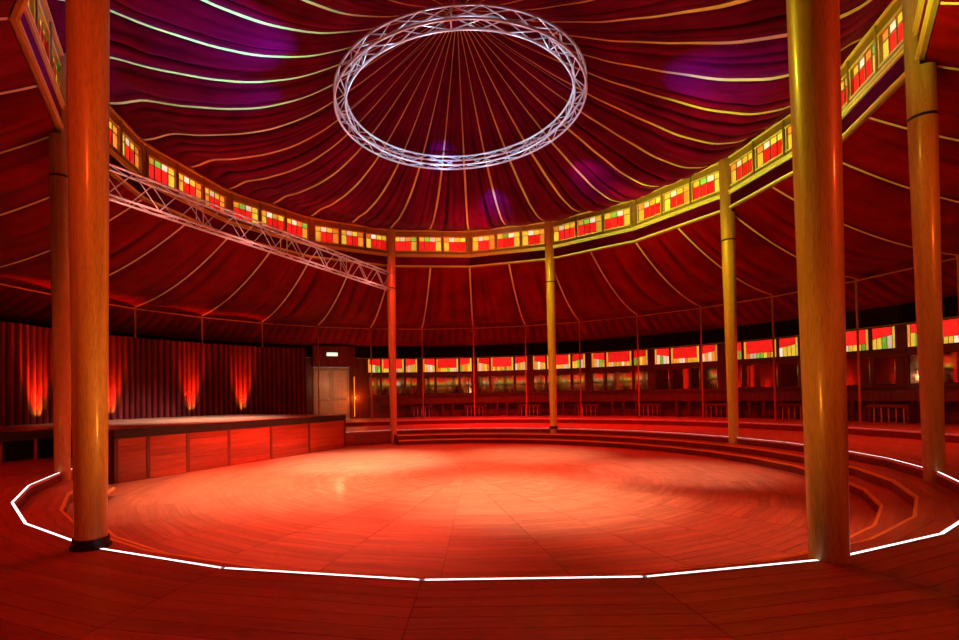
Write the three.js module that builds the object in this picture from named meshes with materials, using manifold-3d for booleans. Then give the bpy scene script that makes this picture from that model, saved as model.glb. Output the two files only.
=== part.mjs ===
// A round tent of timber, velvet and canvas: sunken dance floor, seven masts, lantern ring of coloured glass,
// velvet ceilings under a two-tier canvas roof, and a panelled outer wall with a stage and an exit door.
// Millimetres, +Z up. The origin is on the ground, at the centre of the ring of masts.
import * as THREE from "three";
import { mergeVertices } from "three/addons/utils/BufferGeometryUtils.js";
import Module from "manifold-3d";

const wasm = await Module();
wasm.setup();

// Plan
const SIDES = 32; // the whole plan is a polygon of 32 equal sides
const STEP_DEG = 360 / SIDES;
const BAY_DEG = 45; // from mast to mast
const MAST_ANGLES = [-67.5, -22.5, 22.5, 67.5, 112.5, 202.5, 247.5]; // a truss stands in for the eighth
const STAGE_ANGLE = 157.5;
const GAP = 0.4; // between pieces that touch
const BELOW = -100; // cutting tools reach from here
const ABOVE = 13000; // up to here
const CUT_REACH = 200; // and this far through walls
const SECTOR_REACH = 45000; // sector outlines end outside everything
const SECTOR_STEP_DEG = 60;

// Radii to the corners of the polygons
const FLOOR_R = 7150;
const STEP_R = 7500;
const RING_R = 8000; // masts, deck edge and lantern
const PLATFORM_R = 11400;
const POLE_R = 13000;
const WALL_R = 15000; // inner face of the outer wall
const EAVES_R = 15420;
const CROWN_R = 330;

// Heights above the ground
const FLOOR_Z = 110;
const LOW_STEP_Z = 280;
const HIGH_STEP_Z = 450;
const DECK_Z = 620;
const PLATFORM_Z = 820;
const WALL_TOP_Z = 4690;
const AISLE_RIM_Z = 4640;
const AISLE_TOP_Z = 7010;
const LOWER_ROOF_TOP_Z = 7550;
const LANTERN_TOP_Z = 8640;
const CEILING_RIM_Z = 8540;
const CEILING_TOP_Z = 10830;
// Radius and height of the rings where the hall ceiling bends: it hangs well below a straight cone
const CEILING_BENDS = [
  [7400, 8405],
  [6500, 8290],
  [5500, 8370],
  [4500, 8600],
  [3500, 8950],
  [2400, 9520],
  [1200, 10250],
];
const UPPER_ROOF_TOP_Z = 11280;
const CROWN_FOOT_Z = 10770;
const CROWN_TOP_Z = 11400;
// Radius and rise of the cap and finial over the drum
const CROWN_CAP = [[410, 0], [410, 40], [70, 230], [70, 300], [130, 390], [70, 480], [0, 720]];
const CLOTH = 18;
const ROOF_OVERHANG = 390;

// The steps stop at both ends of the stage
const STEPS_FROM = 207;
const STEPS_TO = 472.5;

// Masts: round timber poles that grow thicker towards their tops
const MAST_FOOT_D = 240;
const MAST_TOP_D = 385;
const MAST_TOP_Z = 8450;
const MAST_NOTCH_Z = 6920; // above it the outer half is cut away for the lantern
const MAST_FACETS = 20;
const CLAMP_D = 350;
const CLAMP_HEIGHT = 170;

// Lantern ring: sixteen flat timber sides with three windows each
const LANTERN_SIDES = 16;
const LANTERN_FOOT_Z = 7000;
const LANTERN_DEPTH = 60;
const PANE_Z = [7640, 8190];
const PANE_WIDTH = 870;
const PANE_PITCH = 975;
const PANE_LAP = 40;
const GLASS = 8;

// Thin poles under a tube that runs from pole to pole
const POLE_D = 62;
const TUBE = 70;
const TUBE_TOP_Z = 5300;

// Outer wall: posts at the corners, one window strip high in each side
const WALL_DEPTH = 70;
const WINDOW_Z = [3220, 3920];
const WINDOW_WIDTH = 2610;
const POST_WIDTH = 290;
const POST_PROUD = 55;

// Counters along the wall with a seat in front of each post
const COUNTER_ENDS = [205.5, 298.125, 388.125, 469.5];
const COUNTER_R = 14560;
const COUNTER_Z = [1510, 1825, 1870];
const COUNTER_BOARD = 25;
const SEAT_R = 14230;
const SEAT_Z = [1340, 1390];
const SEAT_WIDTH = 1100;
const SEAT_END = 60;
const LEG = 90;
const LEG_ASIDE = 260;
const LAP = 10; // by which joined boards reach past each other

// Exit door, measured along its side of the wall from the corner at 112.5 degrees
const DOOR_SIDE = 10;
const DOOR_FROM = 850;
const DOOR_TO = 2690;
const DOOR_TOP_Z = 3500;
const DOOR_SPLIT = 0.6; // the wall beside the door is split here, as a share of its side
const LEAF_DEPTH = 50;
const LEAF_GAP = 10;
const HINGE = { heights: [1000, 2150, 3300], radius: 8, knuckle: 60, plate: 4, reach: 35 };
const PELMET = { from: 560, to: 2760, z0: 3540, z1: 4560, depth: 260 };

// Stage: a straight front, measured outwards along its axis and aside, to the right as seen from the floor
const STAGE_FRONT = 6500;
const STAGE_LEFT = -4300;
const STAGE_RIGHT = 3750;
const STAGE_Z = 1300;
const STAGE_SLAB = 200;
const STAGE_BACK_R = 12800;
const STAGE_WALL = 60;
const WING_FRONT = 8300;
const WING_LEFT = -7000;
const WING_RECESS = 500;
const BACKDROP = { from: 126.5, to: 200, z0: 860, z1: 4220, depth: 40 };

// Trusses
const CHORD = 50;
const BRACE = 28;
const TRUSS = { out: 5657, depth: 300, z0: 6070, z1: 6740, panels: 12, reach: 5600 };
const RING_TRUSS = { inner: 2625, outer: 2875, z0: 8595, z1: 8845, sides: 24, panels: 12 };
const CABLES = { count: 4, width: 14, shackle: 40, hubR: 220, hubZ: 20, endR: 198 };

const part = new THREE.Group();

// Solids for joining and cutting
function solidOf(geometry) {
  const bare = geometry.index ? geometry.toNonIndexed() : geometry.clone();
  bare.deleteAttribute("normal");
  bare.deleteAttribute("uv");
  const merged = mergeVertices(bare, 1e-3);
  const vertProperties = new Float32Array(merged.attributes.position.array);
  const triVerts = new Uint32Array(merged.index.array);
  return new wasm.Manifold(new wasm.Mesh({ numProp: 3, vertProperties, triVerts }));
}

function geometryOf(solid) {
  const mesh = solid.getMesh();
  const positions = new Float32Array(mesh.numVert * 3);
  for (let i = 0; i < mesh.numVert; i++) {
    const start = i * mesh.numProp;
    positions.set(mesh.vertProperties.subarray(start, start + 3), i * 3);
  }
  const geometry = new THREE.BufferGeometry();
  geometry.setAttribute("position", new THREE.BufferAttribute(positions, 3));
  geometry.setIndex(new THREE.BufferAttribute(mesh.triVerts, 1));
  geometry.computeVertexNormals();
  return geometry;
}

const joined = (solids) => solids.reduce((all, next) => all.add(next));
const without = (solid, cutters) => cutters.reduce((left, cutter) => left.subtract(cutter), solid);
const count = (length, make) => Array.from({ length }, (_, i) => make(i));

// Plan geometry
const radians = (degrees) => (degrees * Math.PI) / 180;
const apothem = (radius, sides) => radius * Math.cos(Math.PI / sides);
const lanternFace = (sign) => RING_R + (sign * LANTERN_DEPTH) / 2;

function polar(radius, degrees) {
  return new THREE.Vector2(radius * Math.cos(radians(degrees)), radius * Math.sin(radians(degrees)));
}

// The 32 points of the plan on a polygon of 32 or 16 sides
function corners(radius, sides = SIDES) {
  return count(SIDES, (i) => polar(i % (SIDES / sides) ? apothem(radius, sides) : radius, i * STEP_DEG));
}

// An upright block on an outline, with a hole where one is given
function prism(outline, z0, z1, hole) {
  const shape = new THREE.Shape(outline);
  if (hole) shape.holes.push(new THREE.Path(hole));
  const geometry = new THREE.ExtrudeGeometry(shape, { depth: z1 - z0, bevelEnabled: false });
  return solidOf(geometry.translate(0, 0, z0));
}

function ringSolid(sides, inner, outer, z0, z1) {
  const polygon = (radius) => count(sides, (i) => polar(radius, (i * 360) / sides));
  return prism(polygon(outer), z0, z1, inner > 0 ? polygon(inner) : null);
}

function turnedSolid(profile, sides) {
  const points = profile.map(([r, z]) => new THREE.Vector2(r, z));
  return solidOf(new THREE.LatheGeometry(points, sides).rotateX(Math.PI / 2));
}

// A box at a distance in one direction, with its middle aside from that direction
function boxAt({ degrees, inner, outer, width, z0, z1, aside = 0 }) {
  const geometry = new THREE.BoxGeometry(outer - inner, width, z1 - z0);
  geometry.translate((inner + outer) / 2, aside, (z0 + z1) / 2);
  return solidOf(geometry.rotateZ(radians(degrees)));
}

// One sector of a ring, a hair short at both ends
function sectorOf(ring, from, to, radius) {
  const hair = ((GAP / 2 / radius) * 180) / Math.PI;
  const span = to - from - 2 * hair;
  const steps = Math.ceil(span / SECTOR_STEP_DEG);
  const arc = count(steps + 1, (i) => polar(SECTOR_REACH, from + hair + (i * span) / steps));
  return ring.intersect(prism([new THREE.Vector2(0, 0), ...arc], BELOW, ABOVE));
}

// Flat gores of cloth from ring to ring of corners, the lowest ring first
function gores(...lines) {
  const over = lines.map(({ corners, z }) => ({ corners, z: z + CLOTH }));
  const rings = [...over, ...lines.toReversed()];
  const positions = rings.flatMap((ring) => ring.corners.flatMap(({ x, y }) => [x, y, ring.z]));
  const index = [];
  rings.forEach((_, ring) => {
    const here = ring * SIDES;
    const next = ((ring + 1) % rings.length) * SIDES;
    for (let i = 0; i < SIDES; i++) {
      const after = (i + 1) % SIDES;
      index.push(here + i, here + after, next + after, here + i, next + after, next + i);
    }
  });
  const geometry = new THREE.BufferGeometry();
  geometry.setAttribute("position", new THREE.Float32BufferAttribute(positions, 3));
  geometry.setIndex(index);
  return solidOf(geometry);
}

// A square bar between two points
function bar(from, to, width) {
  const along = to.clone().sub(from);
  const geometry = new THREE.BoxGeometry(width, width, along.length() + width / 2);
  const turn = new THREE.Quaternion();
  turn.setFromUnitVectors(new THREE.Vector3(0, 0, 1), along.clone().normalize());
  geometry.applyQuaternion(turn);
  const middle = from.clone().add(to).multiplyScalar(0.5);
  return solidOf(geometry.translate(middle.x, middle.y, middle.z));
}

// Zigzag bars between two rows of points
function zigzag(rowA, rowB) {
  const diagonal = (i) => (i % 2 ? [rowB[i], rowA[i + 1]] : [rowA[i], rowB[i + 1]]);
  return count(rowA.length - 1, (i) => bar(...diagonal(i), BRACE));
}

// Materials: colour, roughness, metalness
const LOOKS = {
  floor: [0x9a3420, 0.35, 0],
  mast: [0xb4611c, 0.4, 0],
  timber: [0x5c1d12, 0.5, 0],
  velvet: [0x7a0d16, 0.9, 0],
  canvas: [0xe6ddc8, 0.8, 0],
  glass: [0xd8431f, 0.15, 0],
  metal: [0xb9bcc0, 0.3, 0.9],
  door: [0x9c8466, 0.5, 0],
};

function place(name, solid, look) {
  const [color, roughness, metalness] = LOOKS[look];
  const material = new THREE.MeshStandardMaterial({ color, roughness, metalness });
  const mesh = new THREE.Mesh(geometryOf(solid), material);
  mesh.name = name;
  part.add(mesh);
}

// Masts, each with a clamp ring round its foot
function mastAt(degrees, extra = 0) {
  const top = MAST_TOP_D / 2 + extra;
  const foot = MAST_FOOT_D / 2 + extra;
  const geometry = new THREE.CylinderGeometry(top, foot, MAST_TOP_Z, MAST_FACETS);
  geometry.rotateX(Math.PI / 2).translate(RING_R, 0, MAST_TOP_Z / 2);
  return solidOf(geometry.rotateZ(radians(degrees)));
}

function clampAt(degrees) {
  const geometry = new THREE.CylinderGeometry(CLAMP_D / 2, CLAMP_D / 2, CLAMP_HEIGHT, MAST_FACETS);
  geometry.rotateX(Math.PI / 2).translate(RING_R, 0, DECK_Z + GAP + CLAMP_HEIGHT / 2);
  return solidOf(geometry.rotateZ(radians(degrees)));
}

const mastHoles = () => MAST_ANGLES.map((degrees) => mastAt(degrees, GAP));

function masts() {
  const notch = ringSolid(LANTERN_SIDES, lanternFace(-1) - GAP, RING_R + MAST_TOP_D, MAST_NOTCH_Z, ABOVE);
  MAST_ANGLES.forEach((degrees, i) => {
    place(`mast_${i + 1}`, mastAt(degrees).add(clampAt(degrees)).subtract(notch), "mast");
  });
}

// A block of the stage between two distances outwards and two distances aside
function stageBlock(out0, out1, left, right, z0, z1) {
  const outline = [[out0, -right], [out1, -right], [out1, -left], [out0, -left]];
  return prism(outline.map(([out, aside]) => stagePoint(out, aside)), z0, z1);
}

function stagePoint(out, aside) {
  return new THREE.Vector2(out, aside).rotateAround(new THREE.Vector2(0, 0), radians(STAGE_ANGLE));
}

function stageHole() {
  const reach = STAGE_BACK_R + GAP;
  const hole = stageBlock(STAGE_FRONT - GAP, reach, STAGE_LEFT - GAP, STAGE_RIGHT + GAP, BELOW, ABOVE);
  return hole.intersect(ringSolid(SIDES, 0, reach, BELOW, ABOVE));
}

// Dance floor, steps, deck and aisle platform
function floors() {
  const holes = [...mastHoles(), stageHole()];
  const round = ringSolid(SIDES, 0, FLOOR_R - GAP, 0, FLOOR_Z);
  const wide = ringSolid(SIDES, 0, RING_R - GAP, 0, FLOOR_Z);
  const bay = sectorOf(wide, STEPS_TO - 360, STEPS_FROM, RING_R);
  place("dance_floor", without(round.add(bay), holes), "floor");
  const low = ringSolid(SIDES, FLOOR_R, STEP_R - GAP, 0, LOW_STEP_Z);
  const high = ringSolid(SIDES, STEP_R, RING_R - GAP, 0, HIGH_STEP_Z);
  place("lower_step", sectorOf(low, STEPS_FROM, STEPS_TO, RING_R), "floor");
  place("upper_step", without(sectorOf(high, STEPS_FROM, STEPS_TO, RING_R), holes), "floor");
  const deck = without(ringSolid(SIDES, RING_R, PLATFORM_R - GAP, 0, DECK_Z), holes);
  const platform = without(ringSolid(SIDES, PLATFORM_R, WALL_R - GAP, 0, PLATFORM_Z), holes);
  for (let i = 0; i < 4; i++) {
    const from = STAGE_ANGLE + i * 90;
    place(`deck_${i + 1}`, sectorOf(deck, from, from + 90, RING_R), "floor");
    place(`aisle_platform_${i + 1}`, sectorOf(platform, from, from + 90, PLATFORM_R), "floor");
  }
}

// Lantern frames, and the glass outside them
function lanternWindow(i) {
  const middle = apothem(RING_R, LANTERN_SIDES);
  return boxAt({
    degrees: (Math.floor(i / 3) + 0.5) * (360 / LANTERN_SIDES),
    inner: middle - CUT_REACH,
    outer: middle + CUT_REACH,
    width: PANE_WIDTH,
    z0: PANE_Z[0],
    z1: PANE_Z[1],
    aside: ((i % 3) - 1) * PANE_PITCH,
  });
}

function lantern() {
  const whole = ringSolid(LANTERN_SIDES, lanternFace(-1), lanternFace(1), LANTERN_FOOT_Z, LANTERN_TOP_Z);
  const ring = without(whole, count(LANTERN_SIDES * 3, lanternWindow));
  for (let i = 0; i < 4; i++) {
    const from = i * 90 + BAY_DEG / 2;
    place(`lantern_frame_${i + 1}`, sectorOf(ring, from, from + 90, RING_R), "timber");
  }
  const inner = lanternFace(1) + GAP;
  const glass = ringSolid(LANTERN_SIDES, inner, inner + GLASS, PANE_Z[0] - PANE_LAP, PANE_Z[1] + PANE_LAP);
  place("lantern_glass", glass, "glass");
}

// Velvet ceilings
const lanternOutside = () => corners(lanternFace(1) + GAP, LANTERN_SIDES);
const crownEdge = () => corners(CROWN_R + GAP, LANTERN_SIDES);

function aisleCloth(drop) {
  const rim = { corners: corners(WALL_R - GAP), z: AISLE_RIM_Z - drop };
  return gores(rim, { corners: lanternOutside(), z: AISLE_TOP_Z - drop });
}

function ceilings() {
  const rim = { corners: corners(lanternFace(-1) - GAP, LANTERN_SIDES), z: CEILING_RIM_Z };
  const bends = CEILING_BENDS.map(([radius, z]) => ({ corners: corners(radius, LANTERN_SIDES), z }));
  const cloth = gores(rim, ...bends, { corners: crownEdge(), z: CEILING_TOP_Z });
  for (let i = 0; i < 4; i++) {
    const from = i * 90 + 45;
    place(`hall_ceiling_${i + 1}`, sectorOf(cloth, from, from + 90, RING_R), "velvet");
  }
  place("aisle_ceiling", aisleCloth(0), "velvet");
}

// Canvas roofs: one rests on the wall posts, the other on the lantern
function roof(rest, restZ, top, topR, topZ, overhang, sides) {
  const slope = (topZ - restZ) / (rest - topR);
  const rim = { corners: corners(rest + overhang, sides), z: restZ + GAP - slope * overhang };
  return gores(rim, { corners: top, z: topZ });
}

function roofs() {
  const posts = WALL_R + WALL_DEPTH + POST_PROUD + (POST_WIDTH / 2) * Math.tan(Math.PI / SIDES);
  const face = lanternFace(1);
  const lowTop = lanternOutside();
  const nearest = apothem(face, LANTERN_SIDES);
  const low = roof(posts, WALL_TOP_Z, lowTop, nearest, LOWER_ROOF_TOP_Z, EAVES_R - posts, SIDES);
  place("lower_roof", low, "canvas");
  const crownTop = [crownEdge(), CROWN_R, UPPER_ROOF_TOP_Z];
  place("upper_roof", roof(face, LANTERN_TOP_Z, ...crownTop, ROOF_OVERHANG, LANTERN_SIDES), "canvas");
}

// Crown: the drum that both cones are laced to, with its cap and finial
function crown() {
  const drum = [[0, CROWN_FOOT_Z], [CROWN_R, CROWN_FOOT_Z], [CROWN_R, CROWN_TOP_Z]];
  const cap = CROWN_CAP.map(([r, z]) => [r, CROWN_TOP_Z + z]);
  place("crown", turnedSolid([...drum, ...cap], LANTERN_SIDES), "timber");
}

// Thin poles of the aisle, each group under its part of the tube, trimmed to the velvet above
function aislePoles() {
  const foot = PLATFORM_Z + GAP;
  const height = TUBE_TOP_Z - TUBE / 2 - foot;
  const tube = ringSolid(SIDES, POLE_R - TUBE / 2, POLE_R + TUBE / 2, TUBE_TOP_Z - TUBE, TUBE_TOP_Z);
  const trimmed = tube.subtract(aisleCloth(GAP));
  for (let i = 0; i < 4; i++) {
    const from = i * 90 + STEP_DEG / 2;
    const poles = count(8, (k) => {
      const pole = new THREE.CylinderGeometry(POLE_D / 2, POLE_D / 2, height, 8);
      pole.rotateX(Math.PI / 2).translate(POLE_R, 0, foot + height / 2);
      return solidOf(pole.rotateZ(radians(from + (k + 0.5) * STEP_DEG)));
    });
    place(`aisle_poles_${i + 1}`, joined([sectorOf(trimmed, from, from + 90, POLE_R), ...poles]), "mast");
  }
}

// A box against one side of the wall, measured along it from its first corner and outwards from its face
const sideHalf = WALL_R * Math.sin(Math.PI / SIDES);

function sideBox({ side, from, to, inner, outer, z0, z1 }) {
  const face = apothem(WALL_R, SIDES);
  return boxAt({
    degrees: (side + 0.5) * STEP_DEG,
    inner: face + inner,
    outer: face + outer,
    width: to - from,
    z0,
    z1,
    aside: (from + to) / 2 - sideHalf,
  });
}

// Outer wall in segments, with the segment of the door split beside and over the doorway
function wallPost(i) {
  const inner = WALL_R + WALL_DEPTH / 2;
  const outer = WALL_R + WALL_DEPTH + POST_PROUD;
  return boxAt({ degrees: i * STEP_DEG, inner, outer, width: POST_WIDTH, z0: 0, z1: WALL_TOP_Z });
}

function wallWindow(side) {
  const margin = sideHalf - WINDOW_WIDTH / 2;
  const [z0, z1] = WINDOW_Z;
  const depth = { inner: -WALL_DEPTH, outer: CUT_REACH };
  return sideBox({ side, from: margin, to: 2 * sideHalf - margin, ...depth, z0, z1 });
}

function wallRing() {
  const panels = ringSolid(SIDES, WALL_R, WALL_R + WALL_DEPTH, 0, WALL_TOP_Z);
  const inside = ringSolid(SIDES, 0, WALL_R, BELOW, ABOVE);
  const glazed = count(SIDES, (side) => side).filter((side) => side !== DOOR_SIDE);
  return without(joined([panels, ...count(SIDES, wallPost)]), [inside, ...glazed.map(wallWindow)]);
}

function outerWall() {
  const ring = wallRing();
  for (let i = 0; i < 8; i++) {
    const from = i * BAY_DEG + BAY_DEG / 2;
    const segment = sectorOf(ring, from, from + BAY_DEG, WALL_R);
    if (i === 2) wallWithDoor(segment, from);
    else place(`outer_wall_${i + 1}`, segment, "timber");
  }
}

// Hinge knuckles proud of the wall: the wall's own lie below the leaf's at each height
const RIGHT_HINGE = DOOR_FROM + LEAF_GAP / 2;
const LEFT_HINGE = DOOR_TO - LEAF_GAP / 2;

function hinges(along, toward, above) {
  const { heights, radius, knuckle, plate, reach } = HINGE;
  return heights.map((height) => {
    const middle = height + (above * (knuckle + GAP)) / 2;
    const pin = new THREE.CylinderGeometry(radius, radius, knuckle, 10).rotateX(Math.PI / 2);
    pin.translate(apothem(WALL_R, SIDES) + WALL_DEPTH + radius, along - sideHalf, middle);
    const [from, to] = toward < 0 ? [along - reach, along] : [along, along + reach];
    const [z0, z1] = [middle - knuckle / 2, middle + knuckle / 2];
    const flange = doorBox(from, to, WALL_DEPTH - plate, WALL_DEPTH + plate, z0, z1);
    return solidOf(pin.rotateZ(radians((DOOR_SIDE + 0.5) * STEP_DEG))).add(flange);
  });
}

function doorBox(from, to, inner, outer, z0, z1) {
  return sideBox({ side: DOOR_SIDE, from, to, inner, outer, z0, z1 });
}

function wallWithDoor(segment, from) {
  const doorway = doorBox(DOOR_FROM, DOOR_TO, -CUT_REACH, CUT_REACH, PLATFORM_Z, DOOR_TOP_Z);
  const lintel = ringSolid(SIDES, WALL_R - CUT_REACH, WALL_R + CUT_REACH, DOOR_TOP_Z, ABOVE);
  const lower = ringSolid(SIDES, WALL_R - CUT_REACH, WALL_R + CUT_REACH, BELOW, DOOR_TOP_Z - GAP);
  const beside = segment.intersect(lower).subtract(doorway);
  const split = (DOOR_SIDE + DOOR_SPLIT) * STEP_DEG;
  const left = sectorOf(beside, split, from + BAY_DEG, WALL_R);
  const right = sectorOf(beside, from, split, WALL_R);
  place("wall_left_of_door", joined([left, ...hinges(LEFT_HINGE, 1, -1)]), "timber");
  place("wall_right_of_door", joined([right, ...hinges(RIGHT_HINGE, -1, -1)]), "timber");
  place("wall_over_door", segment.intersect(lintel), "timber");
}

// One sheet of glass inside the window strips of all sides but the door's
function wallGlass() {
  const outer = WALL_R - GAP;
  const ring = ringSolid(SIDES, outer - GLASS, outer, WINDOW_Z[0] - PANE_LAP, WINDOW_Z[1] + PANE_LAP);
  const from = (DOOR_SIDE + 1) * STEP_DEG;
  place("wall_glass", sectorOf(ring, from, from + 360 - STEP_DEG, WALL_R), "glass");
}

// Exit door: two leaves that open outwards, and the pelmet over them inside
function exitDoor() {
  const middle = (DOOR_FROM + DOOR_TO) / 2;
  const inner = WALL_DEPTH - LEAF_DEPTH;
  const z0 = PLATFORM_Z + LEAF_GAP;
  const z1 = DOOR_TOP_Z - LEAF_GAP;
  const right = doorBox(DOOR_FROM + LEAF_GAP, middle - LEAF_GAP / 2, inner, WALL_DEPTH, z0, z1);
  const left = doorBox(middle + LEAF_GAP / 2, DOOR_TO - LEAF_GAP, inner, WALL_DEPTH, z0, z1);
  place("door_leaf_right", joined([right, ...hinges(RIGHT_HINGE, 1, 1)]), "door");
  place("door_leaf_left", joined([left, ...hinges(LEFT_HINGE, -1, 1)]), "door");
  const pelmet = doorBox(PELMET.from, PELMET.to, -PELMET.depth, -GAP, PELMET.z0, PELMET.z1);
  place("door_pelmet", pelmet, "velvet");
}

// Counters along the wall with a seat in front of each post
function counters() {
  const [boardZ, topZ, highZ] = COUNTER_Z;
  const foot = PLATFORM_Z + GAP;
  const face = apothem(COUNTER_R, SIDES);
  const top = ringSolid(SIDES, COUNTER_R, WALL_R - GAP, topZ, highZ);
  const board = ringSolid(SIDES, COUNTER_R + LAP, COUNTER_R + COUNTER_BOARD, boardZ, topZ + LAP);
  const leg = { inner: face, outer: face + LEG, width: LEG, z0: foot, z1: boardZ + LAP };
  COUNTER_ENDS.slice(1).forEach((to, i) => {
    const from = COUNTER_ENDS[i];
    const ring = sectorOf(top.add(board), from, to, WALL_R);
    const seats = [];
    const legs = [];
    for (let side = Math.floor(from / STEP_DEG); side <= to / STEP_DEG; side++) {
      const post = side * STEP_DEG;
      if (post > from && post < to) seats.push(seat(post, foot, boardZ));
      for (const sign of [-1, 1]) {
        const degrees = post + STEP_DEG / 2;
        const within = degrees + sign > from && degrees + sign < to;
        if (within) legs.push(boxAt({ ...leg, degrees, aside: sign * LEG_ASIDE }));
      }
    }
    place(`counter_${i + 1}`, joined([ring, ...seats, ...legs]), "timber");
  });
}

function seat(degrees, foot, boardZ) {
  const [low, high] = SEAT_Z;
  const depth = { inner: SEAT_R - LAP, outer: COUNTER_R - LEG - LAP };
  const plank = boxAt({ degrees, ...depth, width: SEAT_WIDTH + 2 * LAP, z0: low, z1: high + LAP });
  const back = COUNTER_R - LEG;
  const top = boardZ + LAP;
  const outline = [[SEAT_R, foot], [COUNTER_R, foot], [COUNTER_R, top]];
  outline.push([back, top], [back, high], [SEAT_R, high]);
  const shape = new THREE.Shape(outline.map(([r, z]) => new THREE.Vector2(r, z)));
  const ends = [-1, 1].map((sign) => {
    const panel = new THREE.ExtrudeGeometry(shape, { depth: SEAT_END, bevelEnabled: false });
    panel.rotateX(Math.PI / 2).translate(0, (sign * (SEAT_WIDTH - SEAT_END)) / 2 + SEAT_END / 2, 0);
    return solidOf(panel.rotateZ(radians(degrees)));
  });
  return joined([plank, ...ends]);
}

// Stage with its wing, and the curtain behind it
function stage() {
  const slabZ = STAGE_Z - STAGE_SLAB;
  const wallTop = slabZ - GAP;
  const within = ringSolid(SIDES, 0, STAGE_BACK_R, BELOW, ABOVE);
  const top = stageBlock(STAGE_FRONT, STAGE_BACK_R, STAGE_LEFT, STAGE_RIGHT, slabZ, STAGE_Z);
  const wing = stageBlock(WING_FRONT, STAGE_BACK_R, WING_LEFT, STAGE_LEFT + LAP, slabZ, STAGE_Z);
  place("stage_deck", top.add(wing).intersect(within), "floor");
  const front = stageBlock(STAGE_FRONT, STAGE_FRONT + STAGE_WALL, STAGE_LEFT, STAGE_RIGHT, 0, wallTop);
  const sides = [[STAGE_LEFT, STAGE_LEFT + STAGE_WALL], [STAGE_RIGHT - STAGE_WALL, STAGE_RIGHT]];
  const sideWall = ([left, right]) => stageBlock(STAGE_FRONT, STAGE_BACK_R, left, right, 0, wallTop);
  const walls = sides.map(sideWall);
  place("stage_base", joined([front, ...walls]).intersect(within), "timber");
  const skirtOut = WING_FRONT + WING_RECESS;
  const skirtEnd = STAGE_LEFT - 2 * GAP;
  const skirt = stageBlock(skirtOut, skirtOut + STAGE_WALL, WING_LEFT, skirtEnd, DECK_Z + GAP, wallTop);
  place("wing_skirt", skirt, "timber");
  const outer = POLE_R - POLE_D / 2 - GAP;
  const curtain = ringSolid(SIDES, outer - BACKDROP.depth, outer, BACKDROP.z0, BACKDROP.z1);
  place("stage_backdrop", sectorOf(curtain, BACKDROP.from, BACKDROP.to, POLE_R), "velvet");
}

// Braces on the four faces between four rows of points
function braces(rows) {
  return rows.flatMap((row, i) => zigzag(row, rows[(i + 1) % 4]));
}

function row(points, z) {
  return points.map(({ x, y }) => new THREE.Vector3(x, y, z));
}

// Straight truss from mast to mast, where the eighth mast is missing
function stageTruss() {
  const { out, depth, z0, z1, panels, reach } = TRUSS;
  const half = (depth - CHORD) / 2;
  const line = (at) => count(panels + 1, (i) => stagePoint(at, -reach + (2 * reach * i) / panels));
  const low = z0 + CHORD / 2;
  const high = z1 - CHORD / 2;
  const rows = [row(line(out - half), low), row(line(out + half), low), row(line(out + half), high)];
  rows.push(row(line(out - half), high));
  const chords = rows.map((points) => bar(points[0], points[panels], CHORD));
  place("stage_truss", without(joined([...chords, ...braces(rows)]), mastHoles()), "metal");
}

// Round truss over the floor
function ringTruss() {
  const { inner, outer, z0, z1, sides, panels } = RING_TRUSS;
  const corner = [[inner, z0], [outer, z0], [outer, z1], [inner, z1]];
  const half = CHORD / 2;
  const chords = corner.map(([r, z]) => ringSolid(sides, r - half, r + half, z - half, z + half));
  const rows = corner.map(([r, z]) => row(count(panels + 1, (i) => polar(r, (i * 360) / panels)), z));
  place("ring_truss", joined([...chords, ...braces(rows)]), "metal");
}

// Cables from the round truss to a plate under the crown
function trussCables() {
  const { inner, z1 } = RING_TRUSS;
  const { count: lines, width, shackle, hubR, hubZ, endR } = CABLES;
  const foot = z1 + CHORD / 2 + GAP;
  const plateZ = CROWN_FOOT_Z - GAP;
  const plate = ringSolid(LANTERN_SIDES, 0, hubR, plateZ - hubZ, plateZ);
  const cables = count(lines, (i) => {
    const degrees = (i * 360) / lines;
    const [start, end] = [polar(inner, degrees), polar(endR, degrees)];
    const block = { degrees, inner: inner - shackle / 2, outer: inner + shackle / 2, width: shackle };
    const line = bar(
      new THREE.Vector3(start.x, start.y, foot + shackle / 2),
      new THREE.Vector3(end.x, end.y, plateZ - hubZ),
      width,
    );
    return line.add(boxAt({ ...block, z0: foot, z1: foot + shackle }));
  });
  place("truss_cables", joined([plate, ...cables]), "metal");
}

masts();
floors();
lantern();
ceilings();
roofs();
crown();
aislePoles();
outerWall();
wallGlass();
exitDoor();
counters();
stage();
stageTruss();
ringTruss();
trussCables();

export default part;
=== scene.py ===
# Looks of a round tent: velvet ceilings over a sunken dance floor, a lantern ring of coloured glass, timber
# masts, a panelled wall with coloured transoms, a stage, and canvas roofs.
# Metres, +Z up, origin at the centre.
import math

import bpy
import numpy as np
from mathutils import Matrix, Vector


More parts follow.
